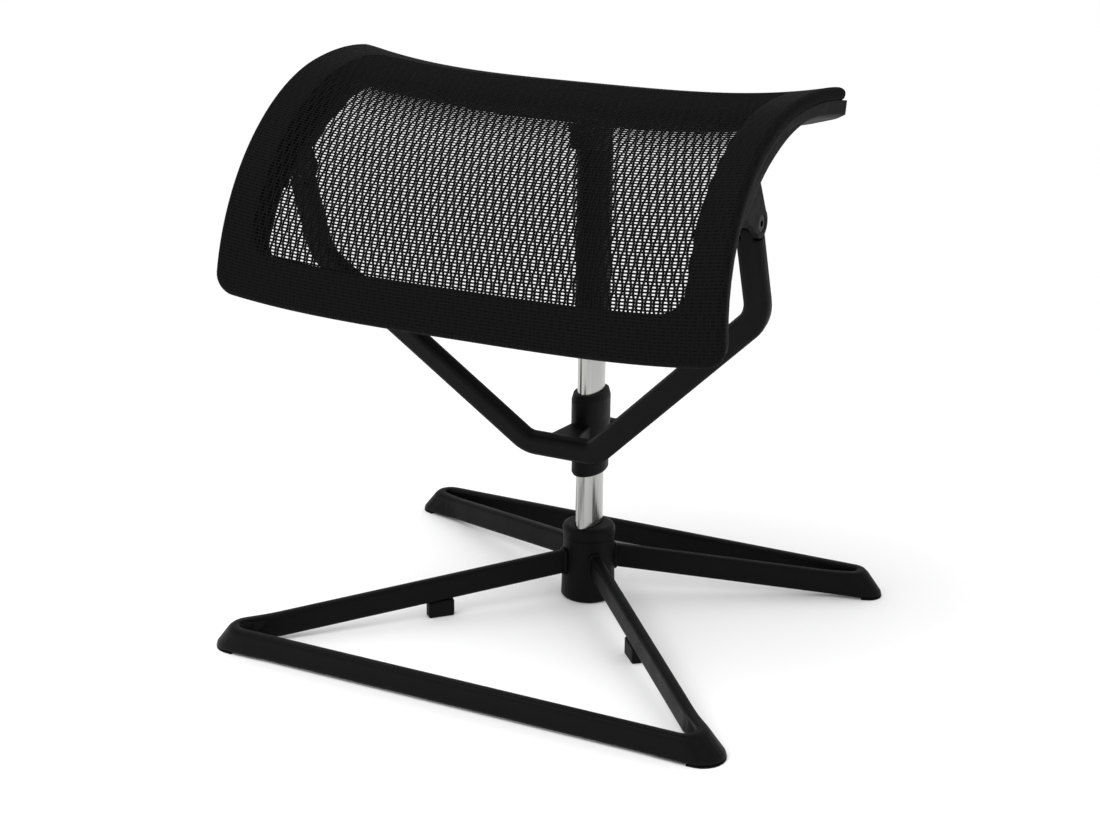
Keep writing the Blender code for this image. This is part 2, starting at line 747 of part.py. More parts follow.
def make_fabric():
    """Thin stretched sheet over the whole saddle, inside the rim's rounded edge, with a grid of openings."""
    inset = RIM_SHARES[0] * RIM_REAR
    half = PANEL_HALF - RIM_SIDE - WEAVE_MARGIN
    across = opening_lines(-half, half, WEAVE_COLUMNS)
    open_low = RIM_FRONT + WEAVE_MARGIN
    open_high = PANEL_LENGTH - RIM_REAR - WEAVE_MARGIN
    front_steps = [inset + FRONT_CORNER_R * share for share in (0.0, 0.15, 0.45, 1.0)]
    front_steps += [RIM_FRONT * share for share in (0.62, 0.81, 1.0)]
    rear_steps = [PANEL_LENGTH - RIM_REAR * share for share in (1.0, 0.8, 0.6, 0.4)]
    rear_steps += [PANEL_LENGTH - inset - REAR_CORNER_R * share for share in (1.0, 0.3, 0.0)]
    along = front_steps + opening_lines(open_low, open_high, WEAVE_ROWS) + rear_steps
    first_row = len(front_steps)
    first_column = 2
    grids = []
    work = bmesh.new()
    for h in (0.0, -FABRIC_THICK):
        grid = []
        for s in along:
            reach = PANEL_HALF - inset
            corner = FRONT_CORNER_R if s < PANEL_LENGTH / 2 else REAR_CORNER_R
            to_end = max(min(s, PANEL_LENGTH - s) - inset, 0.0)
            if to_end < corner:
                reach -= corner - math.sqrt(corner ** 2 - (corner - to_end) ** 2)
            rim_middle = (reach + across[-1]) / 2
            places = [-reach, -rim_middle, *across, rim_middle, reach]
            grid.append([work.verts.new(panel_point(a, s, h)) for a in places])
        grids.append(grid)
    top, foot = grids
    columns = len(top[0]) - 1
    rows = len(along) - 1

    def is_open(row, column):
        in_rows = row in range(first_row, first_row + 2 * WEAVE_ROWS, 2)
        in_columns = column in range(first_column, first_column + 2 * WEAVE_COLUMNS, 2)
        return in_rows and in_columns

    for j in range(rows):
        for i in range(columns):
            corners = ((j, i), (j, i + 1), (j + 1, i + 1), (j + 1, i))
            if is_open(j, i):
                for (a, b), (c, d) in zip(corners, corners[1:] + corners[:1]):
                    work.faces.new((top[a][b], top[c][d], foot[c][d], foot[a][b]))
            else:
                work.faces.new([top[a][b] for a, b in corners])
                work.faces.new([foot[a][b] for a, b in corners[::-1]])
    rims = []
    for grid in grids:
        right = [row[-1] for row in grid[1:]]
        left = [row[0] for row in grid[-2:0:-1]]
        rims.append(grid[0] + right + grid[-1][-2::-1] + left)
    for i in range(len(rims[0])):
        j = (i + 1) % len(rims[0])
        work.faces.new((rims[0][i], rims[0][j], rims[1][j], rims[1][i]))
    place("mesh_fabric", to_mesh("mesh_fabric", work), FABRIC)


def make_shell_screws():
    """Round heads on the shell's under face that hold it to the mesh frame."""
    seats = []
    for a in (-SCREW_FRONT_A, SCREW_FRONT_A):
        seats.append((a, RIM_FRONT / 2))
        seats.append((a, PANEL_LENGTH - RIM_REAR / 2))
    for side in (-1, 1):
        for share in SCREW_SIDE_SHARES:
            seats.append((side * (PANEL_HALF - RIM_SIDE / 2), PANEL_LENGTH * share))
    step = 0.001
    for i, (a, s) in enumerate(seats):
        seat = panel_point(a, s, shell_foot(a, s))
        ahead = panel_point(a, s + step, shell_foot(a, s + step)) - seat
        across = panel_point(a + step, s, shell_foot(a + step, s)) - seat
        down = ahead.cross(across).normalized()
        name = "shell_screw_%d" % (i + 1)
        cylinder(name, SCREW_R, seat + down * 2 * GAP, seat + down * SCREW_TALL, STEEL, 12)


# Column


def rail_foot(s):
    """Under face of the shell's rear rail at the panel's middle."""
    return panel_point(0.0, s, shell_foot(0.0, s))


BUMPER_HALF = COLUMN_A + SHEATH_WALL
RAIL_EDGE = 0.004
RAIL_REAR = rail_foot(PANEL_LENGTH - RAIL_EDGE)
RAIL_FRONT = rail_foot(PANEL_LENGTH - RIM_REAR + RAIL_EDGE)
HEAD_TOP = RAIL_REAR.z - 2 * GAP - BUMPER_TALL - GAP


def make_column():
    low = HUB_FOOT_Z + HUB_PLUG_TALL + GAP
    sheath_low = SLIDER_TOP + SLIDER_TRAVEL + SHEATH_GAP
    head_low = HEAD_TOP - HEAD_TALL
    oval_tube("column_tube", 0.0, -COLUMN_WALL, low, head_low, CHROME)
    oval_tube("column_sheath", SHEATH_WALL, GAP, sheath_low, head_low, BLACK_PLASTIC)
    foot = head_low + GAP
    rings = [
        column_oval(SHEATH_WALL, foot),
        oval(BUMPER_HALF, COLUMN_B + SHEATH_WALL + HEAD_NOSE / 2, foot + HEAD_TALL * 0.3, -HEAD_NOSE / 2),
        oval(BUMPER_HALF, COLUMN_B + SHEATH_WALL + HEAD_NOSE / 2, HEAD_TOP, -HEAD_NOSE / 2),
    ]
    loft("column_head", rings, BLACK_PLASTIC)
    bumper_low = HEAD_TOP + GAP
    slope = (RAIL_FRONT.z - RAIL_REAR.z) / (RAIL_REAR.y - RAIL_FRONT.y)
    half_y = COLUMN_B * 0.75
    middle_y = (RAIL_REAR.y + RAIL_FRONT.y) / 2
    ring = oval(BUMPER_HALF * 0.8, half_y, 0.0, middle_y)
    top = [(x, y, RAIL_REAR.z - 2 * GAP + min(slope * (RAIL_REAR.y - y), HEAD_NOSE)) for x, y, z in ring]
    loft("column_bumper", [[(x, y, bumper_low) for x, y, z in ring], top], RUBBER)


# Slider and yoke


def yoke_point(x, up, face=0.0):
    """Point in the yoke's plane: x across, up along the lean, face in front of the bar's middle."""
    return YOKE_ORIGIN + Vector((x, 0.0, 0.0)) + YOKE_UP * up + YOKE_FACE * face


def make_slider():
    bore = BUSH_WALL + 2 * GAP
    step_z = SLIDER_FOOT_Z + SLIDER_STEP_Z
    low = bore + SLIDER_WALL_LOW
    wide = bore + SLIDER_WALL_TOP
    sleeve = loft("slider_sleeve", [
        column_oval(low - SLIDER_FOOT_ROUND * 0.6, SLIDER_FOOT_Z),
        column_oval(low, SLIDER_FOOT_Z + SLIDER_FOOT_ROUND),
        column_oval(low, step_z),
        column_oval(wide, step_z + SLIDER_STEP_Z / 2),
        column_oval(wide, SLIDER_TOP - SLIDER_ROUND),
        column_oval(wide - SLIDER_LIP, SLIDER_TOP - SLIDER_ROUND * 0.4),
        column_oval(low - SLIDER_LIP * 0.8, SLIDER_TOP),
    ], BLACK_PLASTIC)
    neck_mid = YOKE_ORIGIN.z
    rear_y = -COLUMN_B
    back = -(YOKE_THICK / 2 + GAP)
    rings = [[], []]
    for x, rise in ((-1, -1), (1, -1), (1, 1), (-1, 1)):
        z = neck_mid + rise * NECK_TALL / 2
        rings[0].append((x * NECK_WIDE / 2 * 0.7, rear_y, z))
        up = (z - YOKE_ORIGIN.z - YOKE_FACE.z * back) / YOKE_UP.z
        rings[1].append(yoke_point(x * NECK_WIDE / 2, up, back))
    neck = loft("slider_neck", rings, None)
    boss_z = SLIDER_FOOT_Z + KNOB_ABOVE_FOOT
    boss_end = COLUMN_B + low + BOSS_LONG
    boss = cylinder("slider_boss", BOSS_R, (0, COLUMN_B, boss_z), (0, boss_end, boss_z), None)
    fuse(sleeve, neck, boss)
    stud_start = (0, COLUMN_B - BOSS_LONG / 4, boss_z)
    stud_end = (0, boss_end + BOSS_LONG, boss_z)
    cut(sleeve, oval_bar("slider_bore", bore, SLIDER_FOOT_Z - BUSH_TALL, SLIDER_TOP + BUSH_TALL, None),
        cylinder("stud_hole", STUD_R + GAP, stud_start, stud_end, None))
    oval_tube("slider_bush_lower", BUSH_WALL + GAP, GAP, SLIDER_FOOT_Z, SLIDER_FOOT_Z + BUSH_TALL, NYLON)
    oval_tube("slider_bush_upper", BUSH_WALL + GAP, GAP, SLIDER_TOP - BUSH_TALL, SLIDER_TOP, NYLON)

    shoe_low = COLUMN_B + GAP
    shoe_thick = 0.7 * BUSH_WALL
    block("clamp_shoe", (SHOE_WIDE, shoe_thick, SHOE_TALL),
          Matrix.Translation((0, shoe_low + shoe_thick / 2, boss_z)), STEEL)
    knob_low = boss_end + GAP
    stud_tip = shoe_low + shoe_thick + GAP
    stud_head = knob_low + KNOB_LONG * KNOB_SOCKET
    cylinder("clamp_stud", STUD_R, (0, stud_tip, boss_z), (0, stud_head, boss_z), STEEL)
    make_knob(knob_low, boss_z)


def make_knob(low, z):
    """Lobed hand knob with its face to the rear."""
    shape = ((0.0, 0.62), (0.12, 0.70), (0.30, 0.96), (0.45, 1.0), (0.85, 1.0), (0.96, 0.95), (1.0, 0.84))
    rings = []
    for share, scale in shape:
        ring = []
        for turn in round_turns(KNOB_STEPS):
            radius = (KNOB_R - KNOB_LOBE_DEPTH * (1 - math.cos(KNOB_LOBES * turn)) / 2) * scale
            ring.append((radius * math.cos(turn), low + KNOB_LONG * share, z + radius * math.sin(turn)))
        rings.append(ring)
    knob = loft("height_knob", rings, BLACK_PLASTIC)
    socket_end = low + KNOB_LONG * KNOB_SOCKET + GAP
    cut(knob, cylinder("knob_socket", STUD_R + GAP, (0, low - KNOB_LONG, z), (0, socket_end, z), None))


def make_yoke():
    end = YOKE_RISE + YOKE_THICK / 2
    right = [(YOKE_FLOOR_HALF, 0), (YOKE_ARM_X, YOKE_KNEE), (YOKE_ARM_X, end)]
    corners = [Vector((-x, up, 0)) for x, up in right[::-1]] + [Vector((x, up, 0)) for x, up in right]
    radii = (YOKE_KNEE_BEND_R, YOKE_FLOOR_BEND_R, YOKE_FLOOR_BEND_R, YOKE_KNEE_BEND_R)
    path = fillet_path(corners, radii, CORNER_STEPS)
    turn = Matrix.Translation(YOKE_ORIGIN) @ Matrix.Rotation(math.pi / 2 + YOKE_LEAN, 4, "X")
    yoke = bar_along("yoke_bar", path, YOKE_WIDE, YOKE_THICK, YOKE_ROUND, turn, POWDER_COAT)
    shoulder = YOKE_RISE - LUG_R - TONGUE_EASE
    cheek = (YOKE_WIDE - TONGUE_WIDE) / 2
    for side, word in ((-1, "left"), (1, "right")):
        for way in (-1, 1):
            beside = side * YOKE_ARM_X + way * (TONGUE_WIDE / 2 + cheek)
            middle = Matrix.Translation((beside, (shoulder + end) / 2 + cheek, 0.0))
            size = (2 * cheek, end - shoulder + 2 * cheek, 2 * YOKE_THICK)
            cut(yoke, block("yoke_%s_relief_%d" % (word, way), size, turn @ middle, None))
        centre = PIVOT + Vector((side * YOKE_ARM_X, 0, 0))
        reach = Vector((YOKE_WIDE, 0, 0))
        bore_r = BOLT_R + PIVOT_BUSH_WALL + 3 * GAP
        cut(yoke, cylinder("yoke_%s_bore" % word, bore_r, centre - reach, centre + reach, None))


# Pivots


def make_pivot(word, side):
    """Fork bracket with its bolt, bush, washers and nut; side is -1 on the left."""
    half = YOKE_WIDE / 2
    centre = PIVOT + Vector((side * YOKE_ARM_X, 0, 0))
    foot_s = FRONT_ROLL_R * (FRONT_ROLL_START - PIVOT_TANGENT)
    slot = TONGUE_WIDE / 2 + WASHER_TALL + 3 * GAP
    out = Vector((side, 0, 0))

    rings = []
    for x in (-half, half):
        ring = []
        for i in range(BRACKET_TOP_STEPS + 1):
            s = foot_s + BRACKET_BASE * (i / BRACKET_TOP_STEPS - 0.5)
            across = abs(side * YOKE_ARM_X + x)
            swing = 2 * s / PANEL_LENGTH - 1
            a = across / (1 - PANEL_WAIST / PANEL_HALF * (1 - swing * swing))
            seat = panel_point(a, s, SHELL_TOP - SHELL_THICK - 2 * GAP)
            ring.append((side * YOKE_ARM_X + x, seat.y, seat.z))
        start = PIVOT_TANGENT + math.radians(10)
        for i in range(LUG_STEPS + 1):
            turn = start - math.radians(200) * i / LUG_STEPS
            lug = PIVOT + Vector((0, math.cos(turn), math.sin(turn))) * LUG_R
            ring.append((side * YOKE_ARM_X + x, lug.y, lug.z))
        rings.append(ring)
    bracket = loft("panel_bracket_" + word, rings, GREY_PLASTIC)

    normal = Vector((0, -math.sin(PIVOT_TANGENT), math.cos(PIVOT_TANGENT)))
    tangent = Vector((0, math.cos(PIVOT_TANGENT), math.sin(PIVOT_TANGENT)))
    slot_deep = 2 * LUG_R
    frame = Matrix((
        (1, 0, 0, centre.x),
        (0, tangent.y, normal.y, centre.y + normal.y * (BRACKET_WEB - slot_deep)),
        (0, tangent.z, normal.z, centre.z + normal.z * (BRACKET_WEB - slot_deep)),
        (0, 0, 0, 1),
    ))
    slot_cutter = block("fork_slot_" + word, (2 * slot, 3 * BRACKET_BASE, 2 * slot_deep), frame, None)
    seat_x = half - BOLT_HEAD_TALL
    nut_x = half - NUT_TALL
    far = 2 * half

    def rod(name, radius, start, end, finish=None, sides=ROUND_STEPS):
        """Cylinder on the pivot's axis, between two distances outwards from the arm's middle."""
        return cylinder(name + word, radius, centre + out * start, centre + out * end, finish, sides)

    cut(bracket, slot_cutter, rod("fork_bore_", BOLT_R + GAP, -far, far),
        rod("fork_head_seat_", BOLT_HEAD_R + GAP, seat_x - GAP, far),
        rod("fork_nut_seat_", NUT_R + GAP, -far, GAP - nut_x, None, 6))
    bolt = rod("pivot_bolt_", BOLT_HEAD_R, seat_x, half - GAP, STEEL)
    fuse(bolt, rod("pivot_shank_", BOLT_R, GAP - nut_x, half - BOLT_HEAD_TALL / 2))
    cut(bolt, rod("pivot_socket_", SOCKET_R, half - BOLT_HEAD_TALL * 0.7, far, None, 6))
    rod("pivot_nut_", NUT_R, GAP - half, -nut_x, STEEL, 6)
    bush = rod("pivot_bush_", BOLT_R + PIVOT_BUSH_WALL + 2 * GAP, -TONGUE_WIDE / 2, TONGUE_WIDE / 2, NYLON)
    bush_bore = rod("pivot_bush_bore_", BOLT_R + GAP, -half, half)
    cut(bush, bush_bore)
    near = TONGUE_WIDE / 2 + GAP
    for way, place_word in ((-1, "_inner"), (1, "_outer")):
        start = centre + out * way * near
        end = centre + out * way * (near + WASHER_TALL)
        washer = cylinder("pivot_washer_" + word + place_word, WASHER_R, start, end, NYLON)
        cut(washer, bush_bore)


def join_to(name, position, words, parent=None):
    """Empty on a joint's axis that carries every part whose name starts with one of the words."""
    axis = bpy.data.objects.new(name, None)
    PARTS.objects.link(axis)
    axis.location = position
    axis.parent = parent
    if parent is not None:
        axis.matrix_parent_inverse = parent.matrix_world.inverted()
    bpy.context.view_layer.update()
    for thing in list(PARTS.objects) + list(CUTTERS.objects):
        if thing.type == "MESH" and thing.parent is None and thing.name.startswith(words):
            thing.parent = axis
            thing.matrix_parent_inverse = axis.matrix_world.inverted()
    return axis


loops = [make_leg_loop("front_leg_loop", FRONT_LOOP, FRONT_BEND_R, FRONT_FLARE, 1),
         make_leg_loop("rear_leg_loop", REAR_LOOP, REAR_BEND_R, REAR_FLARE, -1)]
for side_word, side_sign in (("left", -1), ("right", 1)):
    make_corner_foot("front_%s_foot" % side_word, FRONT_LOOP, FRONT_BEND_R, FRONT_FLARE, 1, side_sign)
    make_corner_foot("rear_%s_foot" % side_word, REAR_LOOP, REAR_BEND_R, REAR_FLARE, -1, side_sign)
    make_glide("front_%s_glide" % side_word, side_sign)
    make_pivot(side_word, side_sign)
make_hub()
make_column()
make_slider()
make_yoke()
make_panel()

# The frame's origin is the middle of the footprint, so the column stands a little behind it
base_y = [vertex.co.y for loop in loops for vertex in loop.data.vertices]
base = join_to("base_frame", (0, 0, 0), ("front_", "rear_", "hub_", "column_", "bolt_"))
slide_parts = ("slider_", "clamp_shoe", "yoke_", "pivot_bush_")
slide = join_to("height_slide", (0, 0, SLIDER_FOOT_Z), slide_parts, base)
knob_axis = (0, 0, SLIDER_FOOT_Z + KNOB_ABOVE_FOOT)
join_to("height_knob_turn", knob_axis, ("height_knob", "clamp_stud", "knob_", "stud_"), slide)
join_to("panel_tilt", PIVOT, ("panel_", "mesh_", "pivot_", "fork_", "shell_"), slide)
base.location.y = -(min(base_y) + max(base_y)) / 2
bpy.context.view_layer.update()
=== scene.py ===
"""Dresses the footrest ottoman: woven mesh, wrapped rim, finishes for every part, and a plain studio."""

import itertools
import json
import math

import bmesh
import bpy
import numpy as np
from mathutils import Matrix, Vector


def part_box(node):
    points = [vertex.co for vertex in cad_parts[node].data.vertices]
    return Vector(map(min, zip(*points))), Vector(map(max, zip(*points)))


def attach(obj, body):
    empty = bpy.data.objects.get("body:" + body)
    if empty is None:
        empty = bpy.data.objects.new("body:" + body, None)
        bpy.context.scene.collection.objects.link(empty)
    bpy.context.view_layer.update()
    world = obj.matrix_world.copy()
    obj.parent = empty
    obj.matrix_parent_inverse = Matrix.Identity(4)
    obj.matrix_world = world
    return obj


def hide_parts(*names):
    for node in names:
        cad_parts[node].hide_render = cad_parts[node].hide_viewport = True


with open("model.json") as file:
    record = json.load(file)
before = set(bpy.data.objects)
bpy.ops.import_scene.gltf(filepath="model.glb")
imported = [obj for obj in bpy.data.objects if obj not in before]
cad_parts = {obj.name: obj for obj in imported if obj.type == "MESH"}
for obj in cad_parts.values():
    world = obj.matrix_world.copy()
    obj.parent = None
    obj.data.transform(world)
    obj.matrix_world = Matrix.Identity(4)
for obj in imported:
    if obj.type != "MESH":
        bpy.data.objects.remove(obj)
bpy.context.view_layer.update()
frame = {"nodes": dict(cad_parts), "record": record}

bl_info = {
    "name": "Footrest ottoman dressing",
    "version": (1, 0, 0),
    "blender": (4, 5, 0),
    "location": "3D View > Sidebar > Ottoman",
    "description": "Weaves the mesh, wraps the rim and finishes every part of the footrest ottoman",
    "category": "Object",
}

# The column's axis and the tilt axis, read from the frame
COLUMN_Y = (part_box("column_tube")[0][1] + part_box("column_tube")[1][1]) / 2
JOINTS = {joint["name"]: joint for joint in frame["record"]["behaviour"]["joints"]}
PIVOT_Y, PIVOT_Z = JOINTS["panel_tilt"]["pos_m"][1:]

# The saddle's own sizes, in metres, as the solids have them
PANEL_HALF = 0.2258
PANEL_WAIST = 0.0084
DIP_FRONT = 0.0102
DIP_REAR = 0.0165
DIP_POWER = 3.4
FRONT_ROLL_R = 0.1732
FRONT_START = math.radians(90.7)
FRONT_ROLL = math.radians(82.4)
REAR_ROLL_R = 0.286
REAR_ROLL = math.radians(19.75)
PIVOT_DROP = 0.0597
PIVOT_TANGENT = math.radians(41.4)
RIM_SIDE = 0.029
RIM_REAR = 0.036
RIM_FRONT = 0.039
FRONT_CORNER_R = 0.016
REAR_CORNER_R = 0.007
WINDOW_CORNER_R = 0.022
FRONT_LENGTH = FRONT_ROLL_R * FRONT_ROLL
PANEL_LENGTH = FRONT_LENGTH + REAR_ROLL_R * REAR_ROLL

# The open mesh runs this far in under the border and lies this far below the saddle's top.
# Its weave is counted from its front left corner.
MESH_MARGIN = 0.004
MESH_DROP = 0.0007
WEAVE_LEFT = -(PANEL_HALF - RIM_SIDE + MESH_MARGIN)
WEAVE_FRONT = RIM_FRONT - MESH_MARGIN

# Yarns: corners of the section, thickness as a share of width, distance between a thread's points,
# rows from one swing of the uprights to the other, and how sharply they turn
YARN_CORNERS = 4
UPRIGHT_THICK = 0.6
THREAD_THICK = 1.02
THREAD_STEP = 0.005
SWING_ROWS = 4.0
SWING_SHARP = 1.2

# Border: its thickness, and its section from the window's edge over the rim and round under it.
# Each point is a share of the way from the panel's edge to the window, and a height above the saddle's top.
BORDER_THICK = 0.00055
BORDER_TOP = -0.0004
BORDER_SECTION = (
    (1.000, -0.0026), (1.008, -0.0016), (1.004, -0.0009), (0.975, -0.0005),
    *((share, BORDER_TOP) for share in (0.94, 0.8, 0.65, 0.5, 0.35, 0.2, 0.12)),
    (0.075, -0.0007), (0.035, -0.0015), (0.002, -0.0027), (-0.020, -0.0042), (-0.026, -0.0058),
    (-0.024, -0.0076), (-0.012, -0.0092), (0.010, -0.0100),
)

# Border weave: where its slots open, as shares of an upright's and a thread's width, how far an upright's
# crown reaches, and the heights of crown and fibres as shares of a slot's depth
CLOTH_MAP = "cloth"
SLOT_BESIDE = (0.20, 0.45)
SLOT_BETWEEN = (0.48, 0.78)
CROWN_REACH = 0.6
CROWN_HEIGHT = 0.5
FIBRE_HEIGHT = 0.2
FIBRE_SCALE = 2600.0

# Skirts that deepen the shell's sides beside the pivots and ease off towards its rear corners:
# the two insets and the depth of the outer and the inner one
SKIRTS = ((0.0008, 0.0060, 0.0080), (0.0330, 0.0385, 0.0105))
SKIRT_TOP = -0.0165
SKIRT_ROOT = -0.0172
SKIRT_SPAN = (0.105, 0.290)
SKIRT_FULL = (0.150, 0.195)
SKIRT_EASE = 0.6
SKIRT_POINTS = 40

# Weld beads where the bars meet the hub, and the power that draws a ring out to a bar's corners
WELD_REACH = 0.0250
WELD_R = 0.0021
WELD_POINTS = 48
BEAD_POINTS = 10
BAR_HALF_THICK = 0.0050
BAR_HALF_TALL = 0.0108
BAR_END_Z = 0.0365
BAR_SQUARENESS = 0.4
FRONT_BEARING = math.radians(-48.6)
REAR_BEARING = math.radians(44.4)

# Moulded and coated parts look rounded by this much at their edges
SOFT_EDGE = 0.003

# Scales of the fine grain and of the patches of shine, as shares of the grain's own
FINE_GRAIN = 3.1
SHINE_PATCH = 0.06

# Which finish each part has
FINISH_OF = {
    "powder coat": ("front_leg_loop", "rear_leg_loop", "hub_tube", "yoke_bar"),
    "chrome": ("column_tube",),
    "moulded black": ("hub_cap", "hub_insert", "column_sheath", "column_head", "slider_sleeve",
                      "slider_bush_upper", "slider_bush_lower", "height_knob", "mesh_frame"),
    "moulded grey": ("panel_shell", "panel_bracket_left", "panel_bracket_right"),
    "nylon": ("pivot_bush_left", "pivot_bush_right", "pivot_washer_left_inner", "pivot_washer_left_outer",
              "pivot_washer_right_inner", "pivot_washer_right_outer"),
    "zinc steel": ("column_plug", "column_bolt", "clamp_shoe", "clamp_stud",
                   *("shell_screw_%d" % number for number in range(1, 9))),
    "black bolt": ("pivot_bolt_left", "pivot_bolt_right", "pivot_nut_left", "pivot_nut_right"),
    "foot rubber": ("hub_plug", "column_bumper", "front_left_foot", "front_right_foot", "rear_left_foot",
                    "rear_right_foot", "front_left_glide", "front_right_glide"),
}

# Colours that stay as they are whatever the settings say
NYLON_WHITE = (0.55, 0.55, 0.52)
ZINC_GREY = (0.42, 0.42, 0.43)
BOLT_BLACK = (0.012, 0.012, 0.0125)

# Stage: half the floor's side, the share of its reach where it starts to fade, the lamps' names, places,
# sizes and shares of the key light's power, and the point that they face
FLOOR_HALF = 6.0
FLOOR_CLEAR = 0.4
LAMPS = (("key", (-0.6, -1.4, 2.2), 1.6, 1.0), ("fill", (1.8, -1.0, 1.2), 1.2, 0.10))
LAMP_AIM = (0, 0, 0.25)

# Camera, as fitted to the photograph
CAMERA_AZIMUTH = math.radians(26.78)
CAMERA_PITCH = math.radians(18.53)
CAMERA_ROLL = math.radians(0.64)
CAMERA_PLACE = (0.77025, COLUMN_Y - 1.60821, 0.77511)
SENSOR_WIDTH = 36.0
FOCAL_PX = 2083.15
IMAGE_WIDTH_PX = 1100

# Types of the node groups' sockets
FLOAT = "NodeSocketFloat"
COLOR = "NodeSocketColor"
VECTOR = "NodeSocketVector"
GEOMETRY = "NodeSocketGeometry"
MATERIAL = "NodeSocketMaterial"


# Shapes of the panel


def saddle(across, along, height):
    """Places flat cloth on the saddle: metres across, along from its front edge, and above its top."""
    across, along, height = np.broadcast_arrays(across, along, height)
    front_y = PIVOT_Y + math.sin(PIVOT_TANGENT) * (FRONT_ROLL_R - PIVOT_DROP)
    front_z = PIVOT_Z - math.cos(PIVOT_TANGENT) * (FRONT_ROLL_R - PIVOT_DROP)
    join = FRONT_START - FRONT_ROLL
    rear_y = front_y + math.sin(join) * (REAR_ROLL_R - FRONT_ROLL_R)
    rear_z = front_z - math.cos(join) * (REAR_ROLL_R - FRONT_ROLL_R)
    in_front = along <= FRONT_LENGTH
    front_lean = FRONT_START - along / FRONT_ROLL_R
    rear_lean = join - (along - FRONT_LENGTH) / REAR_ROLL_R
    lean = np.where(in_front, front_lean, rear_lean)
    radius = np.where(in_front, FRONT_ROLL_R, REAR_ROLL_R) + height
    y = np.where(in_front, front_y, rear_y) - np.sin(lean) * radius
    z = np.where(in_front, front_z, rear_z) + np.cos(lean) * radius
    swing = 2 * along / PANEL_LENGTH - 1
    x = across * (1 - PANEL_WAIST / PANEL_HALF * (1 - swing * swing))
    depth = DIP_FRONT + (DIP_REAR - DIP_FRONT) * along / PANEL_LENGTH
    return np.stack([x, y, z - depth * (1 - np.abs(x / PANEL_HALF) ** DIP_POWER)], axis=-1)


def rounded_outline(side, front, rear, front_r, rear_r, arc_steps=8, side_steps=40, end_steps=44):
    """Closed outline on the flat cloth, inset from the panel's edges, with arcs at its corners."""
    half = PANEL_HALF - side
    low = front
    high = PANEL_LENGTH - rear
    arcs = []
    for a, s, radius, start in ((half, low, front_r, -90), (half, high, rear_r, 0),
                                (-half, high, rear_r, 90), (-half, low, front_r, 180)):
        turns = np.radians(start + 90 * np.arange(arc_steps + 1) / arc_steps)
        centre_a = a - math.copysign(radius, a)
        centre_s = s + radius if s == low else s - radius
        arc = (centre_a + radius * np.cos(turns), centre_s + radius * np.sin(turns))
        arcs.append(np.stack(arc, axis=-1))
    points = []
    steps_of = (side_steps, end_steps, side_steps, end_steps)
    for arc, following, steps in zip(arcs, arcs[1:] + arcs[:1], steps_of):
        points.append(arc)
        shares = np.arange(1, steps)[:, None] / steps
        points.append(arc[-1] + (following[0] - arc[-1]) * shares)
    return np.concatenate(points)


def inside_window(points, margin):
    """True where flat points lie within the window, let out by a margin."""
    half = PANEL_HALF - RIM_SIDE + margin
    low = RIM_FRONT - margin
    high = PANEL_LENGTH - RIM_REAR + margin
    radius = WINDOW_CORNER_R + margin
    middle = (low + high) / 2
    out_a = np.maximum(np.abs(points[:, 0]) - (half - radius), 0.0)
    out_s = np.maximum(np.abs(points[:, 1] - middle) - ((high - low) / 2 - radius), 0.0)
    return np.hypot(out_a, out_s) <= radius


def ease(values, low, high):
    """Smooth step from 0 at low to 1 at high."""
    share = np.clip((values - low) / (high - low), 0.0, 1.0)
    return share * share * (3 - 2 * share)


def show(name, mesh):
    """Puts a mesh in the scene as an object at the origin."""
    piece = bpy.data.objects.new(name, mesh)
    bpy.context.scene.collection.objects.link(piece)
    return piece


def mesh_from(work, name, material):
    """Turns a bmesh into a mesh with its faces outwards and one finish."""
    bmesh.ops.recalc_face_normals(work, faces=work.faces)
    mesh = bpy.data.meshes.new(name)
    work.to_mesh(mesh)
    work.free()
    mesh.materials.append(material)
    return mesh


# Node helpers


def feed(tree, value, socket):
    """Links a socket to another one, or sets it to a plain value."""
    if isinstance(value, bpy.types.NodeSocket):
        tree.links.new(value, socket)
    else:
        socket.default_value = value


def math_node(tree, operation, *values):
    """Math node whose inputs are numbers or sockets."""
    node = tree.nodes.new("ShaderNodeMath")
    node.operation = operation
    for socket, value in zip(node.inputs, values):
        feed(tree, value, socket)
    return node.outputs[0]


def vector_of(tree, x=0.0, y=0.0, z=0.0):
    """Vector put together from numbers or sockets."""
    node = tree.nodes.new("ShaderNodeCombineXYZ")
    for socket, value in zip(node.inputs, (x, y, z)):
        feed(tree, value, socket)
    return node.outputs[0]


def split(tree, vector):
    """The X, Y and Z of a vector."""
    node = tree.nodes.new("ShaderNodeSeparateXYZ")
    feed(tree, vector, node.inputs[0])
    return node.outputs


def map_range(tree, value, low, high, to_low=0.0, to_high=1.0, curve="LINEAR"):
    """Value spread from low and high to two others, which are numbers or sockets."""
    node = tree.nodes.new("ShaderNodeMapRange")
    node.interpolation_type = curve
    for name, given in (("Value", value), ("From Min", low), ("From Max", high),
                        ("To Min", to_low), ("To Max", to_high)):
        feed(tree, given, node.inputs[name])
    return node.outputs["Result"]


def soft_step(tree, value, low, high):
    """Smooth step from 0 at low to 1 at high."""
    return map_range(tree, value, low, high, curve="SMOOTHSTEP")


def mix_of(tree, factor, first, second, kind="FLOAT"):
    """Mix of two numbers, colours or sockets."""
    node = tree.nodes.new("ShaderNodeMix")
    node.data_type = kind
    for name, value in (("Factor", factor), ("A", first), ("B", second)):
        feed(tree, value, node.inputs[name])
    return node.outputs["Result"]


def object_coords(tree):
    """The piece's own coordinates, in metres."""
    return tree.nodes.new("ShaderNodeTexCoord").outputs["Object"]


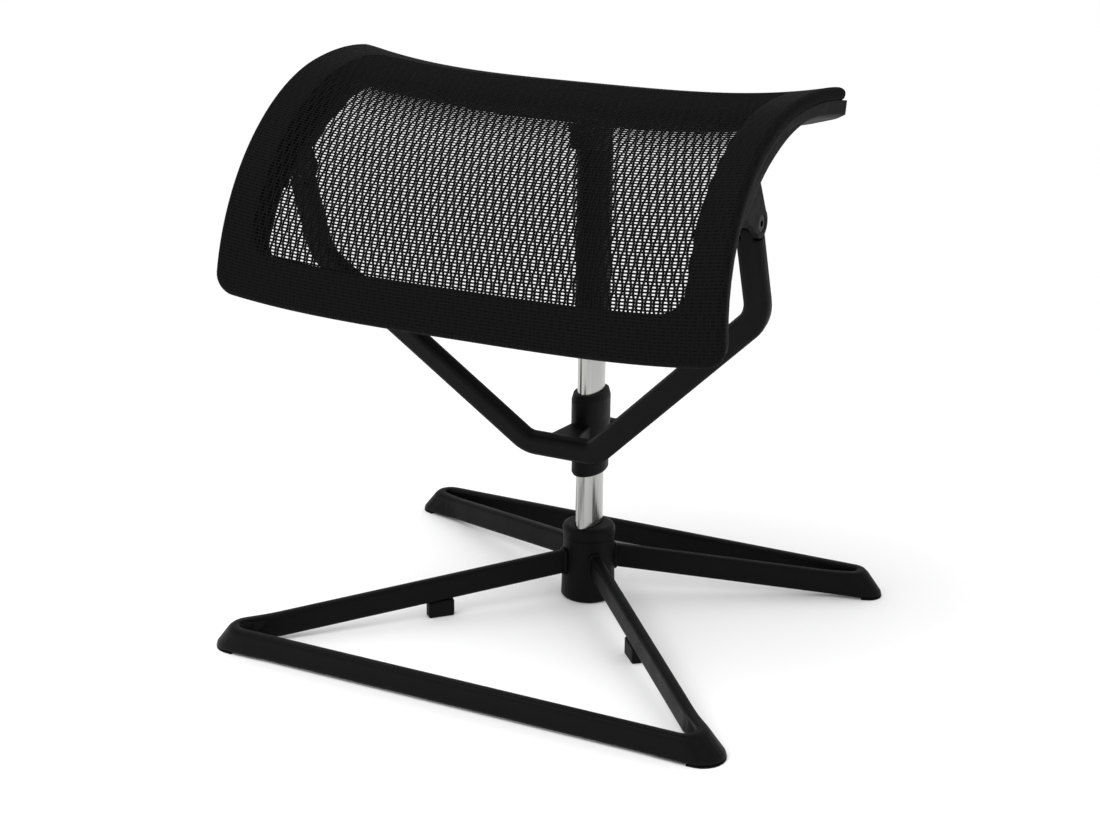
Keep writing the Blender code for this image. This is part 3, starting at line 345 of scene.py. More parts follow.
def noise(tree, vector, scale, detail, roughness=0.55):
    """Noise on a vector."""
    node = tree.nodes.new("ShaderNodeTexNoise")
    for name, value in (("Vector", vector), ("Scale", scale), ("Detail", detail), ("Roughness", roughness)):
        feed(tree, value, node.inputs[name])
    return node.outputs["Fac"]


def new_tree(name, kind, inputs, outputs):
    """Node group with named inputs (name, type, default) and outputs (name, type), and their sockets."""
    tree = bpy.data.node_groups.new(name, kind)
    for label, socket_type, value in inputs:
        socket = tree.interface.new_socket(name=label, in_out="INPUT", socket_type=socket_type)
        if value is not None:
            socket.default_value = value
    for label, socket_type in outputs:
        tree.interface.new_socket(name=label, in_out="OUTPUT", socket_type=socket_type)
    return tree, tree.nodes.new("NodeGroupInput").outputs, tree.nodes.new("NodeGroupOutput").inputs


# Shader groups


def build_tone_group():
    """Colour that drifts to a lighter one in patches over the surface."""
    tree, given, out = new_tree(
        "Tone Drift", "ShaderNodeTree",
        [("Color", COLOR, (0.02, 0.02, 0.02, 1)), ("Light", COLOR, (0.04, 0.04, 0.04, 1)),
         ("Scale", FLOAT, 40.0), ("Amount", FLOAT, 0.5)],
        [("Color", COLOR)])
    drift = noise(tree, object_coords(tree), given["Scale"], detail=5.0, roughness=0.6)
    mask = math_node(tree, "MULTIPLY", map_range(tree, drift, low=0.35, high=0.7), given["Amount"])
    feed(tree, mix_of(tree, mask, given["Color"], given["Light"], "RGBA"), out["Color"])
    return tree


def roughness_from(tree, value, given):
    """Spreads a noise between a group's two roughness inputs."""
    return map_range(tree, value, 0.3, 0.7, given["Roughness Low"], given["Roughness High"])


def build_grain_group():
    """Fine surface grain: a coarse and a fine noise for height, and a roughness that drifts in patches."""
    tree, given, out = new_tree(
        "Surface Grain", "ShaderNodeTree",
        [("Scale", FLOAT, 900.0), ("Fine Share", FLOAT, 0.4),
         ("Roughness Low", FLOAT, 0.4), ("Roughness High", FLOAT, 0.55)],
        [("Height", FLOAT), ("Roughness", FLOAT)])
    coords = object_coords(tree)
    coarse = noise(tree, coords, given["Scale"], detail=2.0)
    fine = noise(tree, coords, math_node(tree, "MULTIPLY", given["Scale"], FINE_GRAIN), detail=2.0)
    patches = noise(tree, coords, math_node(tree, "MULTIPLY", given["Scale"], SHINE_PATCH), detail=4.0)
    feed(tree, mix_of(tree, given["Fine Share"], coarse, fine), out["Height"])
    feed(tree, roughness_from(tree, patches, given), out["Roughness"])
    return tree


def build_streak_group():
    """Long fine streaks along the part's upright axis, as drawn and polished metal has."""
    tree, given, out = new_tree(
        "Drawn Streaks", "ShaderNodeTree",
        [("Scale", FLOAT, 600.0), ("Stretch", FLOAT, 0.02),
         ("Roughness Low", FLOAT, 0.1), ("Roughness High", FLOAT, 0.2)],
        [("Height", FLOAT), ("Roughness", FLOAT)])
    parts = split(tree, object_coords(tree))
    drawn_out = math_node(tree, "MULTIPLY", parts["Z"], given["Stretch"])
    streaks = noise(tree, vector_of(tree, parts["X"], parts["Y"], drawn_out), given["Scale"], detail=2.0)
    feed(tree, streaks, out["Height"])
    feed(tree, roughness_from(tree, streaks, given), out["Roughness"])
    return tree


def swing_of(tree, along, row_pitch):
    """Sideways swing of the uprights, from -1 to 1, that changes sides every few rows."""
    half_period = math_node(tree, "MULTIPLY", row_pitch, SWING_ROWS)
    saw = math_node(tree, "DIVIDE", math_node(tree, "PINGPONG", along, half_period), row_pitch)
    steep = math_node(tree, "MULTIPLY", math_node(tree, "SUBTRACT", saw, SWING_ROWS / 2), SWING_SHARP)
    return math_node(tree, "MAXIMUM", math_node(tree, "MINIMUM", steep, 1.0), -1.0)


def build_weave_group(sizes):
    """The mesh's own weave lying shut on the rim: slots between uprights and threads, and their height."""
    tree, given, out = new_tree(
        "Border Weave", "ShaderNodeTree",
        [("Cloth", VECTOR, None), ("Upright Pitch", FLOAT, sizes.upright_pitch),
         ("Row Pitch", FLOAT, sizes.row_pitch), ("Swing", FLOAT, sizes.swing)],
        [("Slot", FLOAT), ("Height", FLOAT)])
    parts = split(tree, given["Cloth"])
    across = math_node(tree, "SUBTRACT", parts["X"], WEAVE_LEFT)
    along = math_node(tree, "SUBTRACT", parts["Y"], WEAVE_FRONT)
    pitch = given["Upright Pitch"]
    swing = math_node(tree, "MULTIPLY", swing_of(tree, along, given["Row Pitch"]), given["Swing"])
    even = math_node(tree, "PINGPONG", math_node(tree, "SUBTRACT", across, swing), pitch)
    moved = math_node(tree, "SUBTRACT", math_node(tree, "ADD", across, swing), pitch)
    odd = math_node(tree, "PINGPONG", moved, pitch)
    from_upright = math_node(tree, "MINIMUM", even, odd)
    half_row = math_node(tree, "MULTIPLY", given["Row Pitch"], 0.5)
    from_thread = math_node(tree, "SUBTRACT", half_row, math_node(tree, "PINGPONG", along, half_row))
    beside = soft_step(tree, from_upright, *(sizes.upright_width * share for share in SLOT_BESIDE))
    between = soft_step(tree, from_thread, *(sizes.thread_width * share for share in SLOT_BETWEEN))
    slot = math_node(tree, "MULTIPLY", beside, between)
    rounding = soft_step(tree, from_upright, sizes.upright_width * CROWN_REACH, 0.0)
    crown = math_node(tree, "MULTIPLY", rounding, CROWN_HEIGHT)
    fibre = math_node(tree, "MULTIPLY", noise(tree, given["Cloth"], FIBRE_SCALE, detail=2.0), FIBRE_HEIGHT)
    # The slot mask also places the border's painted shade in the openings between yarns.
    feed(tree, slot, out["Slot"])
    feed(tree, math_node(tree, "SUBTRACT", math_node(tree, "ADD", fibre, crown), slot), out["Height"])
    return tree


# Finishes


def new_material(name):
    """Material with nodes, its tree and its Principled BSDF."""
    material = bpy.data.materials.new(name)
    material.use_nodes = True
    tree = material.node_tree
    return material, tree, tree.nodes["Principled BSDF"]


def place_group(tree, group, **values):
    """Places a shader group and returns its outputs; keywords stand for its inputs, with _ for spaces."""
    node = tree.nodes.new("ShaderNodeGroup")
    node.node_tree = group
    for name, value in values.items():
        feed(tree, value, node.inputs[name.replace("_", " ")])
    return node.outputs


def add_bump(tree, shader, height, strength, distance, soft_edge=0.0):
    """Bump from a height, over edges that look rounded by soft_edge metres."""
    bump = tree.nodes.new("ShaderNodeBump")
    if soft_edge:
        edge = tree.nodes.new("ShaderNodeBevel")
        edge.inputs["Radius"].default_value = soft_edge
        feed(tree, edge.outputs["Normal"], bump.inputs["Normal"])
    for name, value in (("Strength", strength), ("Distance", distance), ("Height", height)):
        feed(tree, value, bump.inputs[name])
    feed(tree, bump.outputs["Normal"], shader.inputs["Normal"])


def brighter(color, times):
    """Colour times a factor, up to full."""
    return tuple(min(channel * times, 1.0) for channel in color)


def coated(name, groups, color, light, grain_scale, rough, bump, specular):
    """Moulded or coated finish: drifting tone, grain in height and roughness."""
    material, tree, shader = new_material(name)
    tone = place_group(tree, groups["tone"], Scale=30.0,
                       Color=(*color, 1), Light=(*brighter(color, light), 1))
    grain = place_group(tree, groups["grain"], Scale=grain_scale,
                        Roughness_Low=rough[0], Roughness_High=rough[1])
    feed(tree, tone["Color"], shader.inputs["Base Color"])
    feed(tree, grain["Roughness"], shader.inputs["Roughness"])
    shader.inputs["Specular IOR Level"].default_value = specular
    add_bump(tree, shader, grain["Height"], *bump, soft_edge=SOFT_EDGE)
    return material


def metal(name, groups, color, scale, stretch, rough, bump):
    """Bare or plated metal with fine streaks."""
    material, tree, shader = new_material(name)
    streaks = place_group(tree, groups["streak"], Scale=scale, Stretch=stretch,
                          Roughness_Low=rough[0], Roughness_High=rough[1])
    shader.inputs["Base Color"].default_value = (*color, 1)
    shader.inputs["Metallic"].default_value = 1.0
    feed(tree, streaks["Roughness"], shader.inputs["Roughness"])
    add_bump(tree, shader, streaks["Height"], *bump)
    return material


def border_cloth(name, groups, color, slot_shade_color):
    """Dense woven border, drawn on the cloth's own UV map, with painted shade darkening its slots."""
    material, tree, shader = new_material(name)
    cloth = tree.nodes.new("ShaderNodeUVMap")
    cloth.uv_map = CLOTH_MAP
    weave = place_group(tree, groups["weave"], Cloth=cloth.outputs["UV"])
    # The slots take painted shade: a much darker colour standing for the shade in the weave's openings over
    # the black frame beneath.
    shade = mix_of(tree, weave["Slot"], (*color, 1), (*slot_shade_color, 1), "RGBA")
    feed(tree, shade, shader.inputs["Base Color"])
    shader.inputs["Roughness"].default_value = 0.75
    shader.inputs["Specular IOR Level"].default_value = 0.06
    add_bump(tree, shader, weave["Height"], strength=0.8, distance=0.0005)
    return material


def yarn_cloth(name, groups, color, light):
    """Twisted yarn of the open mesh."""
    material, tree, shader = new_material(name)
    tone = place_group(tree, groups["tone"], Color=(*color, 1), Light=(*light, 1), Scale=700.0, Amount=0.8)
    grain = place_group(tree, groups["grain"], Scale=3200.0, Roughness_Low=0.6, Roughness_High=0.8)
    feed(tree, tone["Color"], shader.inputs["Base Color"])
    feed(tree, grain["Roughness"], shader.inputs["Roughness"])
    shader.inputs["Specular IOR Level"].default_value = 0.06
    add_bump(tree, shader, grain["Height"], strength=0.4, distance=0.0002)
    return material


def make_materials(settings, sizes):
    """All finishes by name; a bump is its strength and its distance."""
    groups = {"tone": build_tone_group(), "grain": build_grain_group(), "streak": build_streak_group(),
              "weave": build_weave_group(sizes)}
    coat = tuple(settings.coat_color)
    plastic = tuple(settings.plastic_color)
    shell = tuple(settings.shell_color)
    cloth = tuple(settings.cloth_color)
    chrome = tuple(settings.chrome_color)
    finishes = {}
    for name, color, light, scale, rough, bump, specular in (
        ("powder coat", coat, 1.5, 700.0, (0.40, 0.52), (0.10, 0.0004), 0.08),
        ("moulded black", plastic, 1.4, 1500.0, (0.42, 0.56), (0.12, 0.0002), 0.09),
        ("moulded grey", shell, 1.35, 1800.0, (0.50, 0.62), (0.18, 0.0002), 0.09),
        ("foot rubber", plastic, 1.8, 1200.0, (0.46, 0.60), (0.15, 0.0002), 0.09),
        ("nylon", NYLON_WHITE, 1.12, 900.0, (0.40, 0.55), (0.08, 0.0002), 0.5),
    ):
        finishes[name] = coated(name, groups, color, light, scale, rough, bump, specular)
    for name, color, scale, stretch, rough, bump in (
        ("chrome", chrome, 500.0, 0.01, (0.16, 0.26), (0.02, 0.0002)),
        ("zinc steel", ZINC_GREY, 900.0, 0.2, (0.25, 0.40), (0.05, 0.0002)),
        ("black bolt", BOLT_BLACK, 900.0, 0.2, (0.30, 0.45), (0.05, 0.0002)),
    ):
        finishes[name] = metal(name, groups, color, scale, stretch, rough, bump)
    # The border's slots are painted shade, at 0.15 of the cloth's colour.
    finishes["border cloth"] = border_cloth("border cloth", groups, cloth, brighter(cloth, 0.15))
    finishes["mesh yarn"] = yarn_cloth("mesh yarn", groups, brighter(cloth, 0.9), brighter(cloth, 1.5))
    return finishes


# Geometry nodes of the open mesh and the weld beads


def new_shape_tree(name, sizes, finish):
    """Geometry tree with an input for each size and one for its finish."""
    inputs = [("Geometry", GEOMETRY, None), *((size, FLOAT, None) for size in sizes),
              (finish, MATERIAL, None)]
    return new_tree(name, "GeometryNodeTree", inputs, [("Geometry", GEOMETRY)])


def end_shape_tree(tree, parts, finish, out):
    """Joins the parts and ends the tree in Realize Instances and Set Material."""
    join = tree.nodes.new("GeometryNodeJoinGeometry")
    for part in parts:
        feed(tree, part, join.inputs["Geometry"])
    realize = tree.nodes.new("GeometryNodeRealizeInstances")
    feed(tree, join.outputs["Geometry"], realize.inputs["Geometry"])
    dress = tree.nodes.new("GeometryNodeSetMaterial")
    feed(tree, realize.outputs["Geometry"], dress.inputs["Geometry"])
    feed(tree, finish, dress.inputs["Material"])
    feed(tree, dress.outputs["Geometry"], out["Geometry"])


def positions(tree):
    """The X, Y and Z of each point's place."""
    return split(tree, tree.nodes.new("GeometryNodeInputPosition").outputs[0])


def sweep(tree, curve, section):
    """Sweeps a section along a curve and closes its ends."""
    node = tree.nodes.new("GeometryNodeCurveToMesh")
    node.inputs["Fill Caps"].default_value = True
    feed(tree, curve, node.inputs["Curve"])
    feed(tree, section, node.inputs["Profile Curve"])
    return node.outputs["Mesh"]


def thread_curve(tree, end, points):
    """Straight curve from the origin to a point, with a number of points along it."""
    line = tree.nodes.new("GeometryNodeCurvePrimitiveLine")
    feed(tree, vector_of(tree), line.inputs["Start"])
    feed(tree, end, line.inputs["End"])
    resample = tree.nodes.new("GeometryNodeResampleCurve")
    feed(tree, line.outputs["Curve"], resample.inputs["Curve"])
    feed(tree, points, resample.inputs["Count"])
    return resample.outputs["Curve"]


def yarn_mesh(tree, curve, width, thickness):
    """Sweeps a flattened diamond along a curve."""
    section = tree.nodes.new("GeometryNodeCurvePrimitiveQuadrilateral")
    section.mode = "KITE"
    half = math_node(tree, "MULTIPLY", thickness, 0.5)
    for name, value in (("Width", width), ("Bottom Height", half), ("Top Height", half)):
        feed(tree, value, section.inputs[name])
    return sweep(tree, curve, section.outputs["Curve"])


def repeat_along(tree, instance, count, start, step):
    """Instances a yarn on a row of points."""
    row = tree.nodes.new("GeometryNodeMeshLine")
    for name, value in (("Count", count), ("Start Location", start), ("Offset", step)):
        feed(tree, value, row.inputs[name])
    put = tree.nodes.new("GeometryNodeInstanceOnPoints")
    feed(tree, row.outputs["Mesh"], put.inputs["Points"])
    feed(tree, instance, put.inputs["Instance"])
    return put.outputs["Instances"]


def build_mesh_tree():
    """Flat open mesh: uprights that swing apart and together in turn, crossed by straight threads."""
    tree, given, out = new_shape_tree(
        "Open Mesh",
        ("Width", "Length", "Upright Pitch", "Swing", "Row Pitch", "Upright Width", "Thread Width"), "Yarn")
    rows = math_node(tree, "FLOOR", math_node(tree, "DIVIDE", given["Length"], given["Row Pitch"]))
    reach = math_node(tree, "MULTIPLY", rows, given["Row Pitch"])
    pair_pitch = math_node(tree, "MULTIPLY", given["Upright Pitch"], 2.0)
    pairs = math_node(tree, "ADD", math_node(tree, "DIVIDE", given["Width"], pair_pitch), 1.0)
    half_row = math_node(tree, "MULTIPLY", given["Row Pitch"], 0.5)
    row_points = math_node(tree, "ADD", rows, 1.0)
    thread_points = math_node(tree, "DIVIDE", given["Width"], THREAD_STEP)
    upright_thick = math_node(tree, "MULTIPLY", given["Upright Width"], UPRIGHT_THICK)
    thread_thick = math_node(tree, "MULTIPLY", given["Thread Width"], THREAD_THICK)

    share = swing_of(tree, positions(tree)["Y"], given["Row Pitch"])
    aside = math_node(tree, "MULTIPLY", share, given["Swing"])
    yarns = []
    for way, first in ((1.0, 0.0), (-1.0, given["Upright Pitch"])):
        bend = tree.nodes.new("GeometryNodeSetPosition")
        feed(tree, thread_curve(tree, vector_of(tree, y=reach), row_points), bend.inputs["Geometry"])
        feed(tree, vector_of(tree, x=math_node(tree, "MULTIPLY", aside, way)), bend.inputs["Offset"])
        upright = yarn_mesh(tree, bend.outputs["Geometry"], given["Upright Width"], upright_thick)
        start = vector_of(tree, x=first)
        yarns.append(repeat_along(tree, upright, pairs, start, vector_of(tree, x=pair_pitch)))
    across = thread_curve(tree, vector_of(tree, x=given["Width"]), thread_points)
    thread = yarn_mesh(tree, across, given["Thread Width"], thread_thick)
    start = vector_of(tree, y=half_row)
    yarns.append(repeat_along(tree, thread, rows, start, vector_of(tree, y=given["Row Pitch"])))
    end_shape_tree(tree, yarns, given["Yarn"], out)
    return tree


def ring(tree, points, radius):
    """Circle as a curve."""
    node = tree.nodes.new("GeometryNodeCurvePrimitiveCircle")
    node.inputs["Resolution"].default_value = points
    feed(tree, radius, node.inputs["Radius"])
    return node.outputs["Curve"]


def squared(tree, value):
    """Share of a circle drawn out towards its corners, which turns a ring into a rounded rectangle."""
    size = math_node(tree, "POWER", math_node(tree, "ABSOLUTE", value), BAR_SQUARENESS)
    return math_node(tree, "MULTIPLY", math_node(tree, "SIGN", value), size)


def build_weld_tree():
    """Weld beads: a squared ring wrapped on the hub, turned to each of the four bars."""
    tree, given, out = new_shape_tree(
        "Weld Beads", ("Reach", "Half Thick", "Half Tall", "Middle", "Bead", "Front Bearing", "Rear Bearing"),
        "Coat")
    parts = positions(tree)
    aside = math_node(tree, "MULTIPLY", squared(tree, parts["X"]), given["Half Thick"])
    rise = math_node(tree, "MULTIPLY", squared(tree, parts["Y"]), given["Half Tall"])
    turn = math_node(tree, "DIVIDE", aside, given["Reach"])
    x, y = (math_node(tree, "MULTIPLY", math_node(tree, function, turn), given["Reach"])
            for function in ("COSINE", "SINE"))
    wrap = tree.nodes.new("GeometryNodeSetPosition")
    feed(tree, ring(tree, WELD_POINTS, 1.0), wrap.inputs["Geometry"])
    feed(tree, vector_of(tree, x, y, math_node(tree, "ADD", rise, given["Middle"])), wrap.inputs["Position"])
    bead = sweep(tree, wrap.outputs["Geometry"], ring(tree, BEAD_POINTS, given["Bead"]))
    beads = []
    for bearing in (given["Front Bearing"], given["Rear Bearing"]):
        for angle in (bearing, math_node(tree, "SUBTRACT", math.pi, bearing)):
            turned = tree.nodes.new("GeometryNodeTransform")
            feed(tree, bead, turned.inputs["Geometry"])
            feed(tree, vector_of(tree, z=angle), turned.inputs["Rotation"])
            beads.append(turned.outputs["Geometry"])
    end_shape_tree(tree, beads, given["Coat"], out)
    return tree


def plain_mesh(name, tree, values):
    """Runs a geometry tree on an empty object and returns its result as a plain mesh."""
    holder = show(name + "_tree", bpy.data.meshes.new(name + "_tree"))
    modifier = holder.modifiers.new("shape", "NODES")
    modifier.node_group = tree
    for item in tree.interface.items_tree:
        if item.item_type == "SOCKET" and item.in_out == "INPUT" and item.name in values:
            modifier[item.identifier] = values[item.name]
    graph = bpy.context.evaluated_depsgraph_get()
    mesh = bpy.data.meshes.new_from_object(holder.evaluated_get(graph))
    bpy.data.objects.remove(holder, do_unlink=True)
    mesh.name = name
    return mesh


# Settings


class OttomanMeshSettings(bpy.types.PropertyGroup):
    """Sizes of the open mesh."""
    upright_pitch: bpy.props.FloatProperty(
        name="Upright pitch", description="Distance between uprights", default=0.00361, unit="LENGTH")
    swing: bpy.props.FloatProperty(
        name="Swing", description="How far an upright swings aside", default=0.00064, unit="LENGTH")
    row_pitch: bpy.props.FloatProperty(
        name="Row pitch", description="Distance between crossing threads", default=0.00275, unit="LENGTH")
    upright_width: bpy.props.FloatProperty(
        name="Upright width", description="Width of an upright yarn", default=0.00216, unit="LENGTH")
    thread_width: bpy.props.FloatProperty(
        name="Thread width", description="Width of a crossing thread", default=0.00155, unit="LENGTH")


class OttomanFinishSettings(bpy.types.PropertyGroup):
    """Colours of the finishes."""
    coat_color: bpy.props.FloatVectorProperty(
        name="Powder coat", description="Colour of the bars and yoke", subtype="COLOR",
        default=(0.0026, 0.0026, 0.0029))
    plastic_color: bpy.props.FloatVectorProperty(
        name="Black plastic", description="Colour of sleeves, pads and head", subtype="COLOR",
        default=(0.0024, 0.0024, 0.0026))
    shell_color: bpy.props.FloatVectorProperty(
        name="Grey plastic", description="Colour of the panel shell and brackets", subtype="COLOR",
        default=(0.0036, 0.0036, 0.0036))
    cloth_color: bpy.props.FloatVectorProperty(
        name="Cloth", description="Colour of the mesh and its border", subtype="COLOR",
        default=(0.0042, 0.0040, 0.0045))
    chrome_color: bpy.props.FloatVectorProperty(
        name="Chrome", description="Colour of the column tube", subtype="COLOR", default=(0.44, 0.44, 0.427))


class OttomanStageSettings(bpy.types.PropertyGroup):
    """Floor and lights."""
    floor_color: bpy.props.FloatVectorProperty(
        name="Floor", description="Colour of the floor", subtype="COLOR", default=(0.96, 0.96, 0.96))
    floor_reach: bpy.props.FloatProperty(
        name="Floor reach", description="Where the floor has faded into the backdrop", default=1.3,
        unit="LENGTH")
    world_strength: bpy.props.FloatProperty(
        name="World strength", description="Even light from all round", default=1.0)
    mirror_strength: bpy.props.FloatProperty(
        name="Mirrored strength", description="Brightness of the surroundings in reflections", default=0.65)
    key_power: bpy.props.FloatProperty(
        name="Key light", description="Power of the large soft light above", default=30.0, unit="POWER")


# The finishes by name, once they are made
MATERIALS = {}


# Operators


class OTTOMAN_OT_finishes(bpy.types.Operator):
    """Make every finish and put it on the parts"""
    bl_idname = "ottoman.finishes"
    bl_label = "Finish the parts"

    def execute(self, context):
        MATERIALS.update(make_materials(context.scene.ottoman_finish, context.scene.ottoman_mesh))
        for finish, parts in FINISH_OF.items():
            for part in parts:
                slots = frame["nodes"][part].data.materials
                slots.clear()
                slots.append(MATERIALS[finish])
        return {"FINISHED"}


class OTTOMAN_OT_open_mesh(bpy.types.Operator):
    """Weave the open mesh flat, cut it to the window and lay it on the saddle"""
    bl_idname = "ottoman.open_mesh"
    bl_label = "Weave the mesh"

    def execute(self, context):
        sizes = context.scene.ottoman_mesh
        width = -2 * WEAVE_LEFT
        length = PANEL_LENGTH - RIM_REAR - RIM_FRONT + 2 * MESH_MARGIN
        mesh = plain_mesh("open_mesh", build_mesh_tree(), {
            "Width": width, "Length": length, "Upright Pitch": sizes.upright_pitch, "Swing": sizes.swing,
            "Row Pitch": sizes.row_pitch, "Upright Width": sizes.upright_width,
            "Thread Width": sizes.thread_width, "Yarn": MATERIALS["mesh yarn"]})
        points = np.empty(len(mesh.vertices) * 3)
        mesh.vertices.foreach_get("co", points)
        points = points.reshape(-1, 3) + np.array([WEAVE_LEFT, WEAVE_FRONT, 0.0])
        rings = points.reshape(-1, YARN_CORNERS, 3).mean(axis=1)
        kept = inside_window(rings, MESH_MARGIN + sizes.thread_width / 2)
        laid = saddle(points[:, 0], points[:, 1], points[:, 2] - MESH_DROP)
        mesh.vertices.foreach_set("co", laid.ravel())
        self.cut(mesh, np.flatnonzero(np.repeat(~kept, YARN_CORNERS)))
        mesh.shade_smooth()
        piece = show("open_mesh", mesh)
        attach(piece, "panel")
        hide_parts("mesh_fabric")
        return {"FINISHED"}

    def cut(self, mesh, outside):
        """Takes away the points outside, with what they leave loose, and closes the yarns' cut ends."""
        work = bmesh.new()
        work.from_mesh(mesh)
        work.verts.ensure_lookup_table()
        bmesh.ops.delete(work, geom=[work.verts[i] for i in outside], context="VERTS")
        lone = [vert for vert in work.verts if not vert.link_faces]
        bmesh.ops.delete(work, geom=lone, context="VERTS")
        ends = [edge for edge in work.edges if edge.is_boundary]
        bmesh.ops.holes_fill(work, edges=ends, sides=YARN_CORNERS)
        bmesh.ops.recalc_face_normals(work, faces=work.faces)
        work.to_mesh(mesh)
        work.free()


class OTTOMAN_OT_border_band(bpy.types.Operator):
    """Wrap the dense woven border round the mesh frame"""
    bl_idname = "ottoman.border_band"
    bl_label = "Wrap the border"

    def execute(self, context):
        edge = rounded_outline(0.0, 0.0, 0.0, FRONT_CORNER_R, REAR_CORNER_R)
        window = rounded_outline(RIM_SIDE, RIM_FRONT, RIM_REAR, WINDOW_CORNER_R, WINDOW_CORNER_R)
        section = self.closed_section()
        flat = edge[:, None, :] + (window - edge)[:, None, :] * section[None, :, :1]
        height = np.broadcast_to(section[None, :, 1], flat.shape[:2])
        points = saddle(flat[..., 0], flat[..., 1], height)
        rings, count = points.shape[:2]
        work = bmesh.new()
        verts = [[work.verts.new(point) for point in ring_points] for ring_points in points]
        cloth = work.loops.layers.uv.new(CLOTH_MAP)
        for i, j in itertools.product(range(rings), range(count)):
            k = (i + 1) % rings
            m = (j + 1) % count
            corners = ((i, j), (k, j), (k, m), (i, m))
            face = work.faces.new([verts[a][b] for a, b in corners])
            face.smooth = True
            for loop, (a, b) in zip(face.loops, corners):
                loop[cloth].uv = flat[a, b]
        piece = show("border_band", mesh_from(work, "border_band", MATERIALS["border cloth"]))
        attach(piece, "panel")
        return {"FINISHED"}

    def closed_section(self):
        """The border's section with its thickness, as a closed ring of points."""
        outer = np.array(BORDER_SECTION)
        to_metres = np.array([RIM_SIDE, 1.0])
        steps = np.gradient(outer * to_metres, axis=0)
        inward = np.stack([-steps[:, 1], steps[:, 0]], axis=-1)
        inward /= np.linalg.norm(inward, axis=1)[:, None]
        inner = outer - inward * BORDER_THICK / to_metres
        return np.concatenate([outer, inner[::-1]])


class OTTOMAN_OT_shell_skirts(bpy.types.Operator):
    """Add the skirts that deepen the shell beside its pivots"""
    bl_idname = "ottoman.shell_skirts"
    bl_label = "Add the shell's skirts"

    def execute(self, context):
        along = np.linspace(*SKIRT_SPAN, SKIRT_POINTS)
        rise = ease(along, SKIRT_SPAN[0], SKIRT_FULL[0])
        fall = ease(along, SKIRT_FULL[1], SKIRT_SPAN[1])
        work = bmesh.new()
        for side, (outer, inner, deep) in itertools.product((-1, 1), SKIRTS):
            foot = SKIRT_ROOT - deep * rise * (1 - SKIRT_EASE * fall)
            lines = []
            for inset, height in ((outer, SKIRT_TOP), (inner, SKIRT_TOP), (inner, foot), (outer, foot)):
                points = saddle(side * (PANEL_HALF - inset), along, height)
                lines.append([work.verts.new(point) for point in points])
            for line, following in zip(lines, lines[1:] + lines[:1]):
                for i in range(len(along) - 1):
                    work.faces.new((line[i], line[i + 1], following[i + 1], following[i]))
            for i in (0, -1):
                work.faces.new([line[i] for line in lines])
        piece = show("shell_skirts", mesh_from(work, "shell_skirts", MATERIALS["moulded grey"]))
        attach(piece, "panel")
        return {"FINISHED"}


class OTTOMAN_OT_weld_beads(bpy.types.Operator):
    """Lay a weld bead round each bar end at the hub"""
    bl_idname = "ottoman.weld_beads"
    bl_label = "Lay the weld beads"

    def execute(self, context):
        mesh = plain_mesh("weld_beads", build_weld_tree(), {
            "Reach": WELD_REACH, "Half Thick": BAR_HALF_THICK, "Half Tall": BAR_HALF_TALL,
            "Middle": BAR_END_Z, "Bead": WELD_R, "Front Bearing": FRONT_BEARING,
            "Rear Bearing": REAR_BEARING, "Coat": MATERIALS["powder coat"]})
        mesh.transform(Matrix.Translation((0.0, COLUMN_Y, 0.0)))
        mesh.shade_smooth()
        piece = show("weld_beads", mesh)
        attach(piece, "base")
        return {"FINISHED"}


